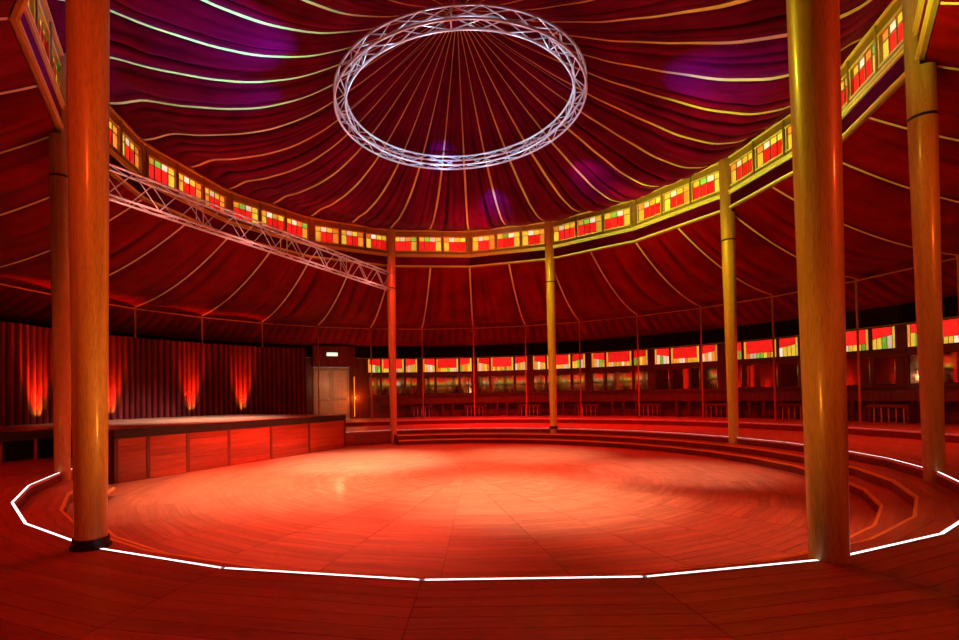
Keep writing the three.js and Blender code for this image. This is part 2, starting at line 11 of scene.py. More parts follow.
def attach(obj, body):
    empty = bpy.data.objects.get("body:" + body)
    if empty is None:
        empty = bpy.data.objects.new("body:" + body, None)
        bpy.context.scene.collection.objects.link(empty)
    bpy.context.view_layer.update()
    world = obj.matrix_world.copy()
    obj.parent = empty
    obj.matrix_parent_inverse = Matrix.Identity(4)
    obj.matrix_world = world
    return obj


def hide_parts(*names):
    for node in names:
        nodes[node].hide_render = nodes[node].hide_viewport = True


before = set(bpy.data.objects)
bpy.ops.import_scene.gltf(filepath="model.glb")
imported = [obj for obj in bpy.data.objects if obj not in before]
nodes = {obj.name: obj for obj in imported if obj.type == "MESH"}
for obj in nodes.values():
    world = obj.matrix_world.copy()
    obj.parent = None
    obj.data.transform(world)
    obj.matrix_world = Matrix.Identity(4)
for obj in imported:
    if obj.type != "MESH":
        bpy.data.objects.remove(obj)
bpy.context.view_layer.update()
scene = bpy.context.scene
rng = np.random.default_rng(11)

# Plan
SIDES = 32
STEP = 360 / SIDES
TAN = math.tan(math.pi / SIDES)
LANTERN_SIDES = 16
LANTERN_STEP = 360 / LANTERN_SIDES
LANTERN_TAN = math.tan(math.pi / LANTERN_SIDES)
MASTS = [-67.5, -22.5, 22.5, 67.5, 112.5, 202.5, 247.5]
STAGE = 157.5
DOOR_SIDE = 10
STEPS_FROM, STEPS_TO = 112.5, 207.0
FLOOR_R, STEP_R, RING_R, PLATFORM_R, POLE_R, WALL_R, EAVES_R = 7.15, 7.5, 8.0, 11.4, 13.0, 15.0, 15.42
FLOOR_Z, LOW_Z, HIGH_Z, DECK_Z, PLATFORM_Z = 0.11, 0.28, 0.45, 0.62, 0.82
STAGE_FRONT, STAGE_LEFT, STAGE_RIGHT, STAGE_BACK = 6.5, -4.3, 3.75, 12.8
WING_FRONT, WING_LEFT = 8.3, -7.0
# Between a trim and the solid that it stands on
GAP = 0.0005


def polar(radius, degrees, z=0.0):
    """A point in one direction from the centre, or a row of points for a row of directions."""
    angle = np.radians(degrees)
    return np.stack(np.broadcast_arrays(radius * np.cos(angle), radius * np.sin(angle), z), -1)


def spot(degrees, out, aside, z):
    """A point at a distance out in one direction, and aside from that direction, anticlockwise."""
    cos, sin = math.cos(math.radians(degrees)), math.sin(math.radians(degrees))
    return np.array([out * cos - aside * sin, out * sin + aside * cos, z])


def stage_spot(out, right, z):
    return spot(STAGE, out, -right, z)


def apothem(radius, sides=SIDES):
    return radius * math.cos(math.pi / sides)


def half_side(radius, sides=SIDES):
    return radius * math.sin(math.pi / sides)


def middle_of(side):
    """The direction of the middle of one of the 32 sides."""
    return (side + 0.5) * STEP


def on_ring(radius, degrees, sides=SIDES, z=0.0):
    """A point of a regular polygon in one direction, or a row of them."""
    off = np.radians(degrees % (360 / sides) - 180 / sides)
    return polar(apothem(radius, sides) / np.cos(off), degrees, z)


def rectangle(across, up):
    (a, b), (low, high) = across, up
    return [(a, low), (b, low), (b, high), (a, high)]


def wedge(low, high, low_gap=0.0, high_gap=0.0, tan=TAN):
    """The outline of one sector between two distances, with a gap at its edges."""
    a, b = low * tan - low_gap, high * tan - high_gap
    return [(low, -a), (high, -b), (high, b), (low, a)]


def seated(face, depth):
    """The reach of a trim that stands on a face: outwards, or inwards where its depth is negative."""
    return tuple(sorted((face + math.copysign(GAP, depth), face + depth)))


def tune(thing, **settings):
    """Sets a thing's attributes, and gives the thing back."""
    for key, value in settings.items():
        setattr(thing, key, value)
    return thing


def placed(name, data):
    """A new object in the scene."""
    made = bpy.data.objects.new(name, data)
    scene.collection.objects.link(made)
    return made


# Mesh making
def grid_faces(rows, stride, joined=True, looped=False, capped=False):
    """Faces between rows of points. joined closes each row, looped joins the last row to the first."""
    faces = []
    for i in range(rows if looped else rows - 1):
        here, after = i * stride, (i + 1) % rows * stride
        for k in range(stride if joined else stride - 1):
            beside = (k + 1) % stride
            faces.append((here + k, here + beside, after + beside, after + k))
    if capped:
        faces += [tuple(range(stride))[::-1], tuple(range((rows - 1) * stride, rows * stride))]
    return faces


class Batch:
    """Gathers simple forms, with grain coordinates and a tone for each form, into one piece. Sheets of cloth
    give a tone for each point instead, which is painted shade from their folds.
    """

    def __init__(self):
        self.verts, self.faces, self.grain, self.tone = [], [], [], []

    def add(self, verts, faces, grain, tone=None):
        first = len(self.verts)
        shift = rng.uniform(0, 40, 3)
        shade = float(rng.uniform(0, 1)) if tone is None else tone
        self.verts.extend(tuple(map(float, v)) for v in verts)
        self.faces.extend(tuple(first + i for i in face) for face in faces)
        self.grain.extend(tuple(np.asarray(g, float) + shift) for g in grain)
        self.tone.extend(shade if isinstance(shade, list) else [shade] * len(verts))

    def prism(self, degrees, bottom, top, order, tone=None):
        """A prism between two outlines of (out, aside, z) points, anticlockwise seen from the top."""
        n = len(bottom)
        points = np.array([*bottom, *top], float)
        faces = [tuple(range(n))[::-1], tuple(range(n, 2 * n))]
        faces += [(i, (i + 1) % n, n + (i + 1) % n, n + i) for i in range(n)]
        self.add([spot(degrees, *point) for point in points], faces, points[:, order], tone)

    def plan(self, degrees, outline, z, along=1, tone=None):
        """A prism on an outline of (out, aside) points. along names the grain's direction."""
        order = [along, *[i for i in range(3) if i != along]]
        bottom, top = ([(out, aside, height) for out, aside in outline] for height in z)
        self.prism(degrees, bottom, top, order, tone)

    def block(self, degrees, out, aside, z, tone=None):
        """A box given by its reach outwards, aside and upwards, with its grain along its length."""
        along = int(np.argmax([b - a for a, b in (out, aside, z)]))
        self.plan(degrees, rectangle(out, aside), z, along, tone)

    def upright(self, degrees, outline, out):
        """A plate on an outline of (aside, z) points, anticlockwise seen from the middle of the tent."""
        bottom, top = ([(reach, aside, z) for aside, z in outline] for reach in out[::-1])
        self.prism(degrees, bottom, top, [2, 1, 0])

    def strip(self, side, radius, out, short, z):
        """A box along one side of a ring of 32, from its face, and short of its corners."""
        face, half = apothem(radius), half_side(radius) - short
        reach = (face + out[0], face + out[1]) if isinstance(out, tuple) else seated(face, out)
        self.block(middle_of(side), reach, (-half, half), z)

    def tube(self, points, radius, sides=8, closed=False):
        """A round tube through points. closed joins its end to its start."""
        points = np.asarray(points, float)
        if closed:
            ahead = np.roll(points, -1, 0) - np.roll(points, 1, 0)
        else:
            ahead = np.gradient(points, axis=0)
        ahead /= np.linalg.norm(ahead, axis=1)[:, None]
        up = np.array([0, 0, 1.0]) if abs(ahead[0][2]) < 0.9 else np.array([1.0, 0, 0])
        verts, grain = [], []
        run = 0.0
        for i, (point, axis) in enumerate(zip(points, ahead)):
            side = np.cross(up, axis)
            side /= np.linalg.norm(side)
            other = np.cross(axis, side)
            run += float(np.linalg.norm(point - points[i - 1])) if i else 0.0
            for k in range(sides):
                turn = 2 * math.pi * k / sides
                a, b = radius * math.cos(turn), radius * math.sin(turn)
                verts.append(point + a * side + b * other)
                grain.append((run, a, b))
        self.add(verts, grid_faces(len(points), sides, looped=closed, capped=not closed), grain)

    def turned(self, profile, centre, sides=24, tone=None, degrees=0.0, limit=None):
        """A form turned about an upright axis from (radius, z) points, closed by its first and last rings."""
        verts, grain = [], []
        for radius, z in profile:
            for k in range(sides):
                turn = 2 * math.pi * k / sides
                out, aside = radius * math.cos(turn), radius * math.sin(turn)
                if limit is not None:
                    out = min(out, limit(aside, z))
                verts.append(np.asarray(centre) + spot(degrees, out, aside, z))
                grain.append((z, out, aside))
        self.add(verts, grid_faces(len(profile), sides, capped=True), grain, tone)

    def piece(self, name, material, slot="dark_timber", smooth=False, body="tent", bevel=0.0):
        mesh = bpy.data.meshes.new(name)
        mesh.from_pydata(self.verts, [], self.faces)
        grain = mesh.attributes.new("grain", "FLOAT_VECTOR", "POINT")
        grain.data.foreach_set("vector", np.array(self.grain, np.float32).ravel())
        # The tone attribute holds a random tone for each form, and painted fold shade on the points of cloth.
        tone = mesh.attributes.new("tone", "FLOAT", "POINT")
        tone.data.foreach_set("value", np.array(self.tone, np.float32))
        mesh.materials.append(material)
        if smooth:
            mesh.shade_smooth()
            mesh.set_sharp_from_angle(angle=math.radians(40))
        made = placed(name, mesh)
        if bevel:
            tune(made.modifiers.new("edges", "BEVEL"), width=bevel, segments=1, limit_method="ANGLE")
        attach(made, body)
        return made


def batches(count):
    return [Batch() for _ in range(count)]


def recoat(prefixes, material):
    """One material on all solids whose names start so."""
    for name in nodes:
        if name.startswith(prefixes):
            nodes[name].data.materials.clear()
            nodes[name].data.materials.append(material)


# Materials
class Shader:
    """A material with one Principled shader, and short calls that add nodes to it."""

    def __init__(self, name, **values):
        self.material = bpy.data.materials.new(name + "_look")
        self.material.use_nodes = True
        self.tree = self.material.node_tree
        self.tree.nodes.clear()
        self.bsdf = self.node("BsdfPrincipled")
        self.put(self.node("OutputMaterial").inputs["Surface"], self.bsdf.outputs[0])
        self.set(**values)

    def put(self, socket, value):
        if isinstance(value, bpy.types.NodeSocket):
            self.tree.links.new(value, socket)
        elif isinstance(value, (tuple, list)) and socket.type == "RGBA":
            socket.default_value = (*value[:3], 1.0)
        else:
            socket.default_value = value

    def set(self, **values):
        for key, value in values.items():
            self.put(self.bsdf.inputs[key.replace("_", " ")], value)
        return self

    def node(self, kind, inputs=None, **settings):
        made = tune(self.tree.nodes.new("ShaderNode" + kind), **settings)
        for key, value in (inputs or {}).items():
            self.put(made.inputs[key], value)
        return made

    def coords(self, grain=True):
        if grain:
            return self.node("Attribute", attribute_name="grain").outputs["Vector"]
        return self.node("TexCoord").outputs["Object"]

    def noise(self, place, scale, detail=4.0, roughness=0.5, distortion=0.0):
        """Noise at one scale, or stretched by three."""
        if isinstance(scale, tuple):
            place = self.node("Mapping", {"Vector": place, "Scale": scale}).outputs[0]
            scale = 1.0
        inputs = {"Vector": place, "Scale": scale, "Detail": detail, "Roughness": roughness}
        return self.node("TexNoise", {**inputs, "Distortion": distortion}).outputs[0]

    def ramp(self, value, *stops):
        made = self.node("ValToRGB", {"Fac": value})
        elements = made.color_ramp.elements
        while len(elements) < len(stops):
            elements.new(0.5)
        for element, (position, colour) in zip(elements, stops):
            tune(element, position=position, color=(*colour, 1.0))
        return made.outputs[0]

    def mix(self, a, b, factor, blend="MIX"):
        made = self.node("Mix", data_type="RGBA", blend_type=blend)
        for index, value in ((0, factor), (6, a), (7, b)):
            self.put(made.inputs[index], value)
        return made.outputs[2]

    def toned(self, colour, *stops):
        """A colour times a ramp over the tone of each form. On cloth that tone is painted shade from its
        folds.
        """
        tone = self.node("Attribute", attribute_name="tone").outputs["Fac"]
        return self.mix(colour, self.ramp(tone, *stops), 1.0, "MULTIPLY")

    def span(self, value, low, high, start=0.0, end=1.0):
        inputs = {"Value": value, "From Min": start, "From Max": end, "To Min": low, "To Max": high}
        return self.node("MapRange", inputs).outputs[0]

    def math(self, operation, a, b):
        made = self.node("Math", operation=operation)
        self.put(made.inputs[0], a)
        self.put(made.inputs[1], b)
        return made.outputs[0]

    def bump(self, height, strength, distance):
        """Sets the relief, and gives the finished material."""
        inputs = {"Height": height, "Strength": strength, "Distance": distance}
        return self.set(Normal=self.node("Bump", inputs).outputs[0]).material


def grey(level):
    return (level, level, level)


def shades(dark, light):
    """Ramp stops from a dark to a light colour, with one between."""
    middle = tuple((a + b) / 2 for a, b in zip(dark, light))
    return (0.25, dark), (0.5, middle), (0.75, light)


def wood(name, dark, light, roughness=(0.25, 0.45), coat=0.3, grain=True, fibre=1.0, stretch=(0.7, 11, 11),
         dull=0.58):
    """Varnished timber with long figure, fine fibre and a tone of its own for each board."""
    made = Shader(name, Coat_Weight=coat, Coat_Roughness=0.12)
    place = made.coords(grain)
    figure = made.noise(place, stretch, 5.0, 0.55, 0.6)
    fine = made.noise(place, tuple(s * 14 for s in stretch), 3.0, 0.6)
    worn = made.noise(place, 1.3, 4.0, 0.6)
    fibres = made.span(fine, 0.55, 0.0, 0.3, 0.55)
    colour = made.mix(made.ramp(figure, *shades(dark, light)), tuple(c * 0.35 for c in dark), fibres)
    if grain:
        colour = made.toned(colour, (0.0, grey(dull)), (1.0, grey(1.0)))
    height = made.math("ADD", made.math("MULTIPLY", figure, 0.6), made.math("MULTIPLY", fine, 0.4))
    made.set(Base_Color=colour, Roughness=made.span(worn, *roughness, 0.3, 0.7))
    return made.bump(height, 0.35 * fibre, 0.004)


def velvet(name, dark, light, tint, sheen=0.6):
    """Pile that shimmers at the edges, with crushed patches, a fine nap, and painted shade from the tone of
    each point, dark deep in the folds of a cloth.
    """
    made = Shader(name, Roughness=0.8, Specular_IOR_Level=0.12)
    made.set(Sheen_Weight=sheen, Sheen_Roughness=0.35, Sheen_Tint=tint)
    place = made.coords()
    patch = made.noise(place, (0.7, 1.6, 1.6), 4.0, 0.6, 0.5)
    crush = made.noise(place, (0.9, 11.0, 11.0), 4.0, 0.6, 0.6)
    nap = made.noise(place, 160.0, 2.0, 0.7)
    value = made.math("ADD", made.math("MULTIPLY", patch, 0.6), made.math("MULTIPLY", crush, 0.4))
    # Painted shade: this tone ramp darkens the pile deep in the folds of a cloth and lightens it on their
    # crests.
    folds = (0.0, grey(0.10)), (0.5, grey(0.62)), (1.0, grey(1.0))
    made.set(Base_Color=made.toned(made.ramp(value, *shades(dark, light)), *folds))
    return made.bump(made.math("ADD", made.math("MULTIPLY", nap, 0.1), crush), 0.7, 0.03)


def canvas(name, dark, light):
    """Plain-woven tent canvas with stains along its seams."""
    made = Shader(name, Roughness=0.75, Sheen_Weight=0.15)
    place = made.coords()
    weave, weft = (made.node("TexWave", {"Vector": place, "Scale": 90.0}, bands_direction=way).outputs[1]
                   for way in "XY")
    stain = made.noise(place, (0.5, 2.5, 1), 6.0, 0.65, 0.8)
    made.set(Base_Color=made.ramp(stain, *shades(dark, light)))
    height = made.math("ADD", made.math("MULTIPLY", made.math("ADD", weave, weft), 0.1), stain)
    return made.bump(height, 0.25, 0.006)


def metal(name, dark, light, roughness=(0.2, 0.4), metallic=1.0):
    """Rolled or painted metal with streaks, small scratches and dull patches."""
    made = Shader(name, Metallic=metallic)
    place = made.coords()
    streak = made.noise(place, (1.5, 60, 60), 3.0, 0.6)
    dull = made.noise(place, 6.0, 5.0, 0.65)
    made.set(Base_Color=made.ramp(streak, *shades(dark, light)))
    made.set(Roughness=made.span(dull, *roughness, 0.3, 0.7))
    return made.bump(streak, 0.15, 0.001)


def lit_glass(name, colour, strength):
    """Rolled coloured glass, streaky and uneven, with the daylight behind it painted as a glow of its own:
    the glass emits light rather than letting it through.
    """
    made = Shader(name, Roughness=0.15, Base_Color=colour, Emission_Strength=strength)
    streak = made.noise(made.coords(), (5, 9, 9), 4.0, 0.6, 1.5)
    thin = tuple(min(1.0, c * 1.5 + 0.004) for c in colour)
    deep = tuple(c * 0.5 for c in colour)
    body = made.ramp(streak, *shades(deep, thin))
    # Painted light: the glass glows by its own emission in place of daylight shining through it, and each
    # pane's tone dims it at random.
    made.set(Emission_Color=made.toned(body, (0.0, (0.5, 0.42, 0.4)), (1.0, grey(1.0))))
    made.material.cycles.emission_sampling = "NONE"
    return made.bump(streak, 0.3, 0.004)


def glow(name, colour, strength):
    """A light fitting's own frosted cover, lit from within."""
    made = Shader(name, Roughness=0.4, Base_Color=colour, Emission_Strength=strength)
    frost = made.noise(made.coords(), 30.0, 2.0, 0.5)
    dim = tuple(c * 0.75 for c in colour)
    return made.set(Emission_Color=made.ramp(frost, *shades(dim, colour))).material


def mirror(name):
    """Old silvered glass: smooth, with faint clouding."""
    made = Shader(name, Metallic=1.0, Base_Color=(0.85, 0.66, 0.52))
    cloud = made.noise(made.coords(), 5.0, 5.0, 0.7)
    return made.set(Roughness=made.span(cloud, 0.02, 0.09, 0.3, 0.75)).material


FLOOR = wood("floor_boards", (0.29, 0.115, 0.055), (0.50, 0.24, 0.125), (0.38, 0.58), 0.12, fibre=0.5,
             dull=0.76)
FLOOR_BASE = wood("floor_base", (0.10, 0.02, 0.012), (0.22, 0.05, 0.025), (0.4, 0.6), 0.1, grain=False)
MAST = wood("mast", (0.50, 0.24, 0.07), (0.80, 0.48, 0.17), (0.32, 0.5), fibre=0.4)
TIMBER = wood("timber", (0.08, 0.016, 0.010), (0.22, 0.045, 0.022), (0.3, 0.5))
TIMBER_BASE = wood("timber_base", (0.07, 0.015, 0.010), (0.17, 0.035, 0.02), (0.35, 0.55), 0.2, grain=False,
                   stretch=(9, 9, 0.6))
FRAME_WOOD = wood("frame", (0.34, 0.20, 0.05), (0.62, 0.42, 0.12), (0.3, 0.5))
FRAME_BASE = wood("frame_base", (0.30, 0.17, 0.04), (0.52, 0.34, 0.09), (0.3, 0.5), grain=False,
                  stretch=(3, 3, 12))
STAGE_WOOD = wood("stage", (0.28, 0.045, 0.016), (0.54, 0.11, 0.04), (0.3, 0.5), 0.25)
DOOR_WOOD = wood("door", (0.48, 0.38, 0.26), (0.66, 0.55, 0.40), (0.4, 0.6), 0.1)
BLACK = metal("black", (0.012, 0.010, 0.010), (0.035, 0.03, 0.03), (0.4, 0.7), 0.2)
BLACK_TOP_BAND = velvet("black_top_band", (0.006, 0.003, 0.004), (0.02, 0.008, 0.01), (0.3, 0.1, 0.1), 0.1)
GOLD = metal("gold", (0.66, 0.46, 0.09), (0.95, 0.74, 0.20), (0.3, 0.5), 0.12)
GOLD_CLOTH = velvet("gold_braid", (0.62, 0.50, 0.22), (0.95, 0.85, 0.48), (1.0, 0.85, 0.5), 0.3)
HALL_VELVET = velvet("hall_velvet", (0.045, 0.0006, 0.016), (0.31, 0.003, 0.12), (1.0, 0.04, 0.4), 0.1)
AISLE_VELVET = velvet("aisle_velvet", (0.11, 0.0008, 0.002), (0.44, 0.003, 0.010), (1.0, 0.04, 0.05), 0.1)
CURTAIN = velvet("curtain", (0.09, 0.008, 0.010), (0.42, 0.05, 0.04), (1.0, 0.3, 0.2), 0.25)
CANVAS = canvas("canvas", (0.62, 0.56, 0.45), (0.86, 0.82, 0.72))
VALANCE = canvas("valance", (0.42, 0.03, 0.03), (0.60, 0.06, 0.05))
TRUSS_METAL = metal("truss", (0.55, 0.57, 0.60), (0.82, 0.84, 0.88), (0.25, 0.45), 0.3)
STEEL = metal("steel", (0.25, 0.25, 0.26), (0.5, 0.5, 0.52), (0.3, 0.5))
POLE_PAINT = metal("pole", (0.34, 0.09, 0.03), (0.52, 0.17, 0.06), (0.3, 0.5), 0.1)
MIRROR = mirror("mirror")
LED = glow("light_strip", (1.0, 0.93, 0.88), 2.6)
DIM_LED = glow("dim_strip", (1.0, 0.70, 0.62), 0.7)
AMBER = glow("amber_tube", (1.0, 0.26, 0.02), 1.8)
SIGN = glow("sign", (0.75, 1.0, 0.8), 1.2)
# Each glass: its colour, and the strength of its glow, painted light in place of daylight through it.
GLASS = {
    "red": ((0.95, 0.015, 0.01), 1.2),
    "yellow": ((1.0, 0.58, 0.05), 1.0),
    "orange": ((1.0, 0.28, 0.03), 1.1),
    "green": ((0.22, 0.55, 0.05), 1.0),
    "cream": ((1.0, 0.86, 0.50), 1.1),
}
PANES = {colour: lit_glass(colour + "_glass", *look) for colour, look in GLASS.items()}

# Camera: solved from the corners of the deck edge, the masts and the wall posts
CAMERA_AT = (0.459, -11.448, 1.919)
CAMERA_YAW, CAMERA_PITCH, CAMERA_ROLL = -0.1048, 0.016, -0.0173
LENS = {"sensor_width": 36.0, "lens": 18.366, "shift_x": 0.0495, "shift_y": 0.0712, "clip_start": 0.05,
        "clip_end": 300.0}


def camera():
    ahead = np.array([
        math.sin(CAMERA_YAW) * math.cos(CAMERA_PITCH),
        math.cos(CAMERA_YAW) * math.cos(CAMERA_PITCH),
        math.sin(CAMERA_PITCH),
    ])
    level = np.array([math.cos(CAMERA_YAW), -math.sin(CAMERA_YAW), 0.0])
    over = np.cross(level, ahead)
    right = level * math.cos(CAMERA_ROLL) + over * math.sin(CAMERA_ROLL)
    up = over * math.cos(CAMERA_ROLL) - level * math.sin(CAMERA_ROLL)
    made = placed("camera", tune(bpy.data.cameras.new("camera"), **LENS))
    pose = np.eye(4)
    pose[:3, 0], pose[:3, 1], pose[:3, 2], pose[:3, 3] = right, up, -ahead, CAMERA_AT
    made.matrix_world = Matrix(pose.tolist())
    scene.camera = made


# Cloth
GORE_POINTS = 26
CLOTH_ROWS = 46
AROUND = np.arange(SIDES * GORE_POINTS) * STEP / GORE_POINTS
SEAMS = range(0, SIDES * GORE_POINTS, GORE_POINTS)
# Each point's place across its gore, and how far it is arched between the seams
ACROSS = np.arange(SIDES * GORE_POINTS) % GORE_POINTS / GORE_POINTS
ARCH = np.sin(math.pi * ACROSS)
HALL_RIM, HALL_EYE = 7.965, 0.335
# Radius and height where the hall ceiling bends, as in the solids, from the crown to the rim
HALL_LINE = (
    [0.335, 1.2, 2.4, 3.5, 4.5, 5.5, 6.5, 7.4, 7.97],
    [10.838, 10.26, 9.53, 8.96, 8.61, 8.38, 8.30, 8.414, 8.545],
)
# How much higher the cloth hangs on the left, and lower on the right, at each radius
HALL_LEAN = (
    [1.4, 2.9, 3.9, 4.8, 5.6, 6.5, 7.3, 7.75, 7.97],
    [0, -0.08, -0.08, 0, 0.14, 0.25, 0.26, 0.02, 0],
)


def painted_fold_shade(rows, depth=0.045, reach=3):
    """Painted shade for each point of a cloth: 0 deep in a fold, darkened as if in shadow, 1 on its crest,
    lightened as if lit, seen from below.
    """
    heights = rows[:, :, 2]
    beside = sum(np.roll(heights, k, 1) for k in range(-reach, reach + 1)) / (2 * reach + 1)
    return np.clip(0.5 - (heights - beside) / depth, 0, 1).ravel().tolist()


def sheet(name, rows, grain, painted_shade, material, slot="velvet", joined=True):
    """An open sheet of cloth through rows of points, with painted shade as the tone of each point. joined
    closes each row on itself.
    """
    made = Batch()
    made.add(rows.reshape(-1, 3), grid_faces(*rows.shape[:2], joined), grain, painted_shade)
    return made.piece(name, material, slot, smooth=True)


def cloth(name, rows, material, slot):
    """A cloth that runs round the tent, whose tone holds painted shade deep in its folds and painted light on
    their crests, for a velvet to read.
    """
    grain = [(i * 0.17, k * 0.03, 0.0) for i in range(len(rows)) for k in range(len(AROUND))]
    piece = sheet(name, rows, grain, painted_fold_shade(rows), material, slot)
    return piece


def braid(rows, width, drop, name, material, taper_r=0.01):
    """Braid that follows the cloth down on both sides of its seams, and narrows inside taper_r."""
    made = Batch()
    count = len(rows)
    for index in SEAMS:
        line = rows[:, index]
        halves = width / 2 * np.clip(np.linalg.norm(line[:, :2], axis=1) / taper_r, 0.25, 1)[:, None]
        strip = [line - [0, 0, drop]]
        for beside in (rows[:, index - 1], rows[:, index + 1]):
            side = beside - line
            side *= halves / np.linalg.norm(side, axis=1)[:, None]
            strip.append(line + side - [0, 0, drop])
        faces = []
        for k in range(count - 1):
            faces.append((k, k + 1, count + k + 1, count + k))
            faces.append((k, 2 * count + k, 2 * count + k + 1, k + 1))
        grain = [(k * 0.2, part * 0.02, 0) for part in range(3) for k in range(count)]
        made.add(np.concatenate(strip), faces, grain, 0.9)
    return made.piece(name, material, "velvet", smooth=True)


def eased(line, places, spread=0.35):
    """Values along a line of knots, with its corners rounded off."""
    steps = np.linspace(-spread, spread, 9)
    weights = np.cos(steps / spread * math.pi / 2) + 0.05
    values = [np.interp(np.asarray(places) + step, *line) for step in steps]
    return np.tensordot(weights / weights.sum(), values, 1)


def creases(share, spread, count=3):
    """Folds that run along one gore: their places across it, widths and depths, each drifting a little."""
    middles = np.sort(rng.uniform(0.12, 0.88, count))
    widths = rng.uniform(0.04, 0.11, count)
    depths = rng.uniform(0.25, 1.0, count)
    turns = rng.uniform(0, 6.28, count)
    total = np.zeros_like(share * spread)
    for middle, width, depth, turn in zip(middles, widths, depths, turns):
        drift = middle + 0.07 * np.sin(2.6 * share + turn) + (0.5 - middle) * 0.3 * share
        total += depth * (1.2 - share) * np.exp(-((spread - drift) / width) ** 2)
    return total


def hall_rows():
    """The velvet over the dance floor: 32 gores that sag between seams and crease along their length."""
    shares = (np.arange(CLOTH_ROWS + 1) / CLOTH_ROWS)[:, None]
    spread, arch = ACROSS[None, :GORE_POINTS], ARCH[None, :GORE_POINTS]
    radii = HALL_RIM - (HALL_RIM - HALL_EYE) * shares
    seam, lean = eased(HALL_LINE, radii), eased(HALL_LEAN, radii)
    belly = 0.20 * arch ** 0.9 * (1 - shares) ** 0.8 * np.minimum(1, 0.25 + shares * 4)
    hem = 0.05 * arch * np.exp(-28 * shares)
    heights = []
    for gore in range(SIDES):
        side = -math.cos(math.radians(middle_of(gore) - 10))
        fold = 0.07 * creases(shares, spread) * arch ** 0.5 * np.minimum(1, shares * 9)
        swag = 0.020 * arch * np.exp(-5 * shares) * np.sin(2 * math.pi * (shares * 11 + arch + gore * 0.37))
        heights.append(seam + lean * side - belly - hem + fold + swag)
    t = shares[:, :, None]
    rows = on_ring(HALL_RIM, AROUND, LANTERN_SIDES) * (1 - t) + polar(HALL_EYE, AROUND) * t
    rows[:, :, 2] = np.concatenate(heights, 1)
    return rows


def aisle_rows(inner_rows=34, outer_rows=12):
    """The velvet over the aisle: from the lantern down to the pole tops, then to the wall."""
    u = (np.arange(inner_rows + 1) / inner_rows)[:, None]
    v = (np.arange(1, outer_rows + 1) / outer_rows)[:, None]
    folds = [creases(u * 0.6, ACROSS[None, :GORE_POINTS]) for _ in range(SIDES)]
    lantern = on_ring(8.045, AROUND, LANTERN_SIDES, 7.005)
    pole = on_ring(POLE_R, AROUND, SIDES, 5.33 + 0.17 * ARCH ** 0.6)
    wall = on_ring(14.99, AROUND, SIDES, 4.63)
    rise, fall = np.sin(math.pi * u), np.sin(math.pi * v)
    inner = lantern * (1 - u[:, :, None]) + pole * u[:, :, None]
    inner[:, :, 2] += 0.035 * rise ** 0.5 * ARCH ** 0.5 * np.concatenate(folds, 1)
    inner[:, :, 2] -= 1.2 * u * (1 - u) + 0.20 * ARCH * rise ** 0.6
    outer = pole * (1 - v[:, :, None]) + wall * v[:, :, None]
    outer[:, :, 2] += fall * (0.012 * np.sin(14 * math.pi * ACROSS) - 0.05 * (1 + 0.5 * ARCH))
    return np.concatenate([inner, outer]), inner_rows


def ceilings():
    hall = hall_rows()
    lines = braid(hall, 0.085, 0.008, "hall_braid", GOLD_CLOTH, taper_r=5.0)
    velvet_sheet = cloth("hall_velvet", hall, HALL_VELVET, "velvet")
    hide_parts(*[name for name in nodes if name.startswith("hall_ceiling")])
    aisle, poles_row = aisle_rows()
    ribs = braid(aisle[:poles_row + 1], 0.06, 0.008, "aisle_braid", GOLD_CLOTH)
    velvet_sheet = cloth("aisle_velvet", aisle, AISLE_VELVET, "velvet")
    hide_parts("aisle_ceiling")


def roof_rows(rim_r, rim_z, top_r, top_z, sides, valance, sag, count=12):
    """A canvas cone between two polygons, tight over its ribs, with a scalloped edge under its rim."""
    scallop = 0.55 + 0.45 * abs(np.sin(math.pi * (np.arange(len(AROUND)) % 7) / 7))
    edge = [on_ring(rim_r - 0.004, AROUND, sides, rim_z - drop * valance * scallop) for drop in (1.0, 0.5)]
    t = (np.arange(count + 1) / count)[:, None, None]
    cone = on_ring(rim_r, AROUND, sides, rim_z) * (1 - t) + on_ring(top_r, AROUND, LANTERN_SIDES, top_z) * t
    cone[:, :, 2] -= sag * ARCH * np.sin(math.pi * t[:, :, 0])
    return np.concatenate([edge, cone])


def roofs():
    low = roof_rows(EAVES_R, 4.60, 8.036, 7.565, SIDES, 0.26, 0.05)
    high = roof_rows(8.42, 8.525, 0.331, 11.295, LANTERN_SIDES, 0.24, 0.06)
    for name, rows, flat, area, rests_on in (
            ("lower_roof", low, (29.9, 29.9), 610.0, ["outer_wall_1", "lantern_frame_1"]),
            ("upper_roof", high, (17.0, 17.0), 250.0, ["lantern_frame_1", "crown"])):
        ribs = braid(rows[2:], 0.06, -0.006, name + "_seams", VALANCE)
        roof = cloth(name + "_canvas", rows, CANVAS, "canvas")
        roof.data.materials.append(VALANCE)
        for polygon in roof.data.polygons[:2 * len(AROUND)]:
            polygon.material_index = 1
        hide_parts(name)


# Masts
MAST_TOP = 8.45
NOTCH_Z = 6.92
NOTCH_OUT = 7.97
CLAMPED = (67.5, 247.5)
STRAP_Z = (6.13, 6.17)


def mast_radius(z):
    return 0.12 + (0.1925 - 0.12) * z / MAST_TOP


def mast_limit(aside, z):
    """How far out of its axis a mast may reach. Over its notch the lantern ring stands behind it."""
    if z <= NOTCH_Z:
        return math.inf
    return NOTCH_OUT - 0.001 - RING_R - abs(aside) * LANTERN_TAN


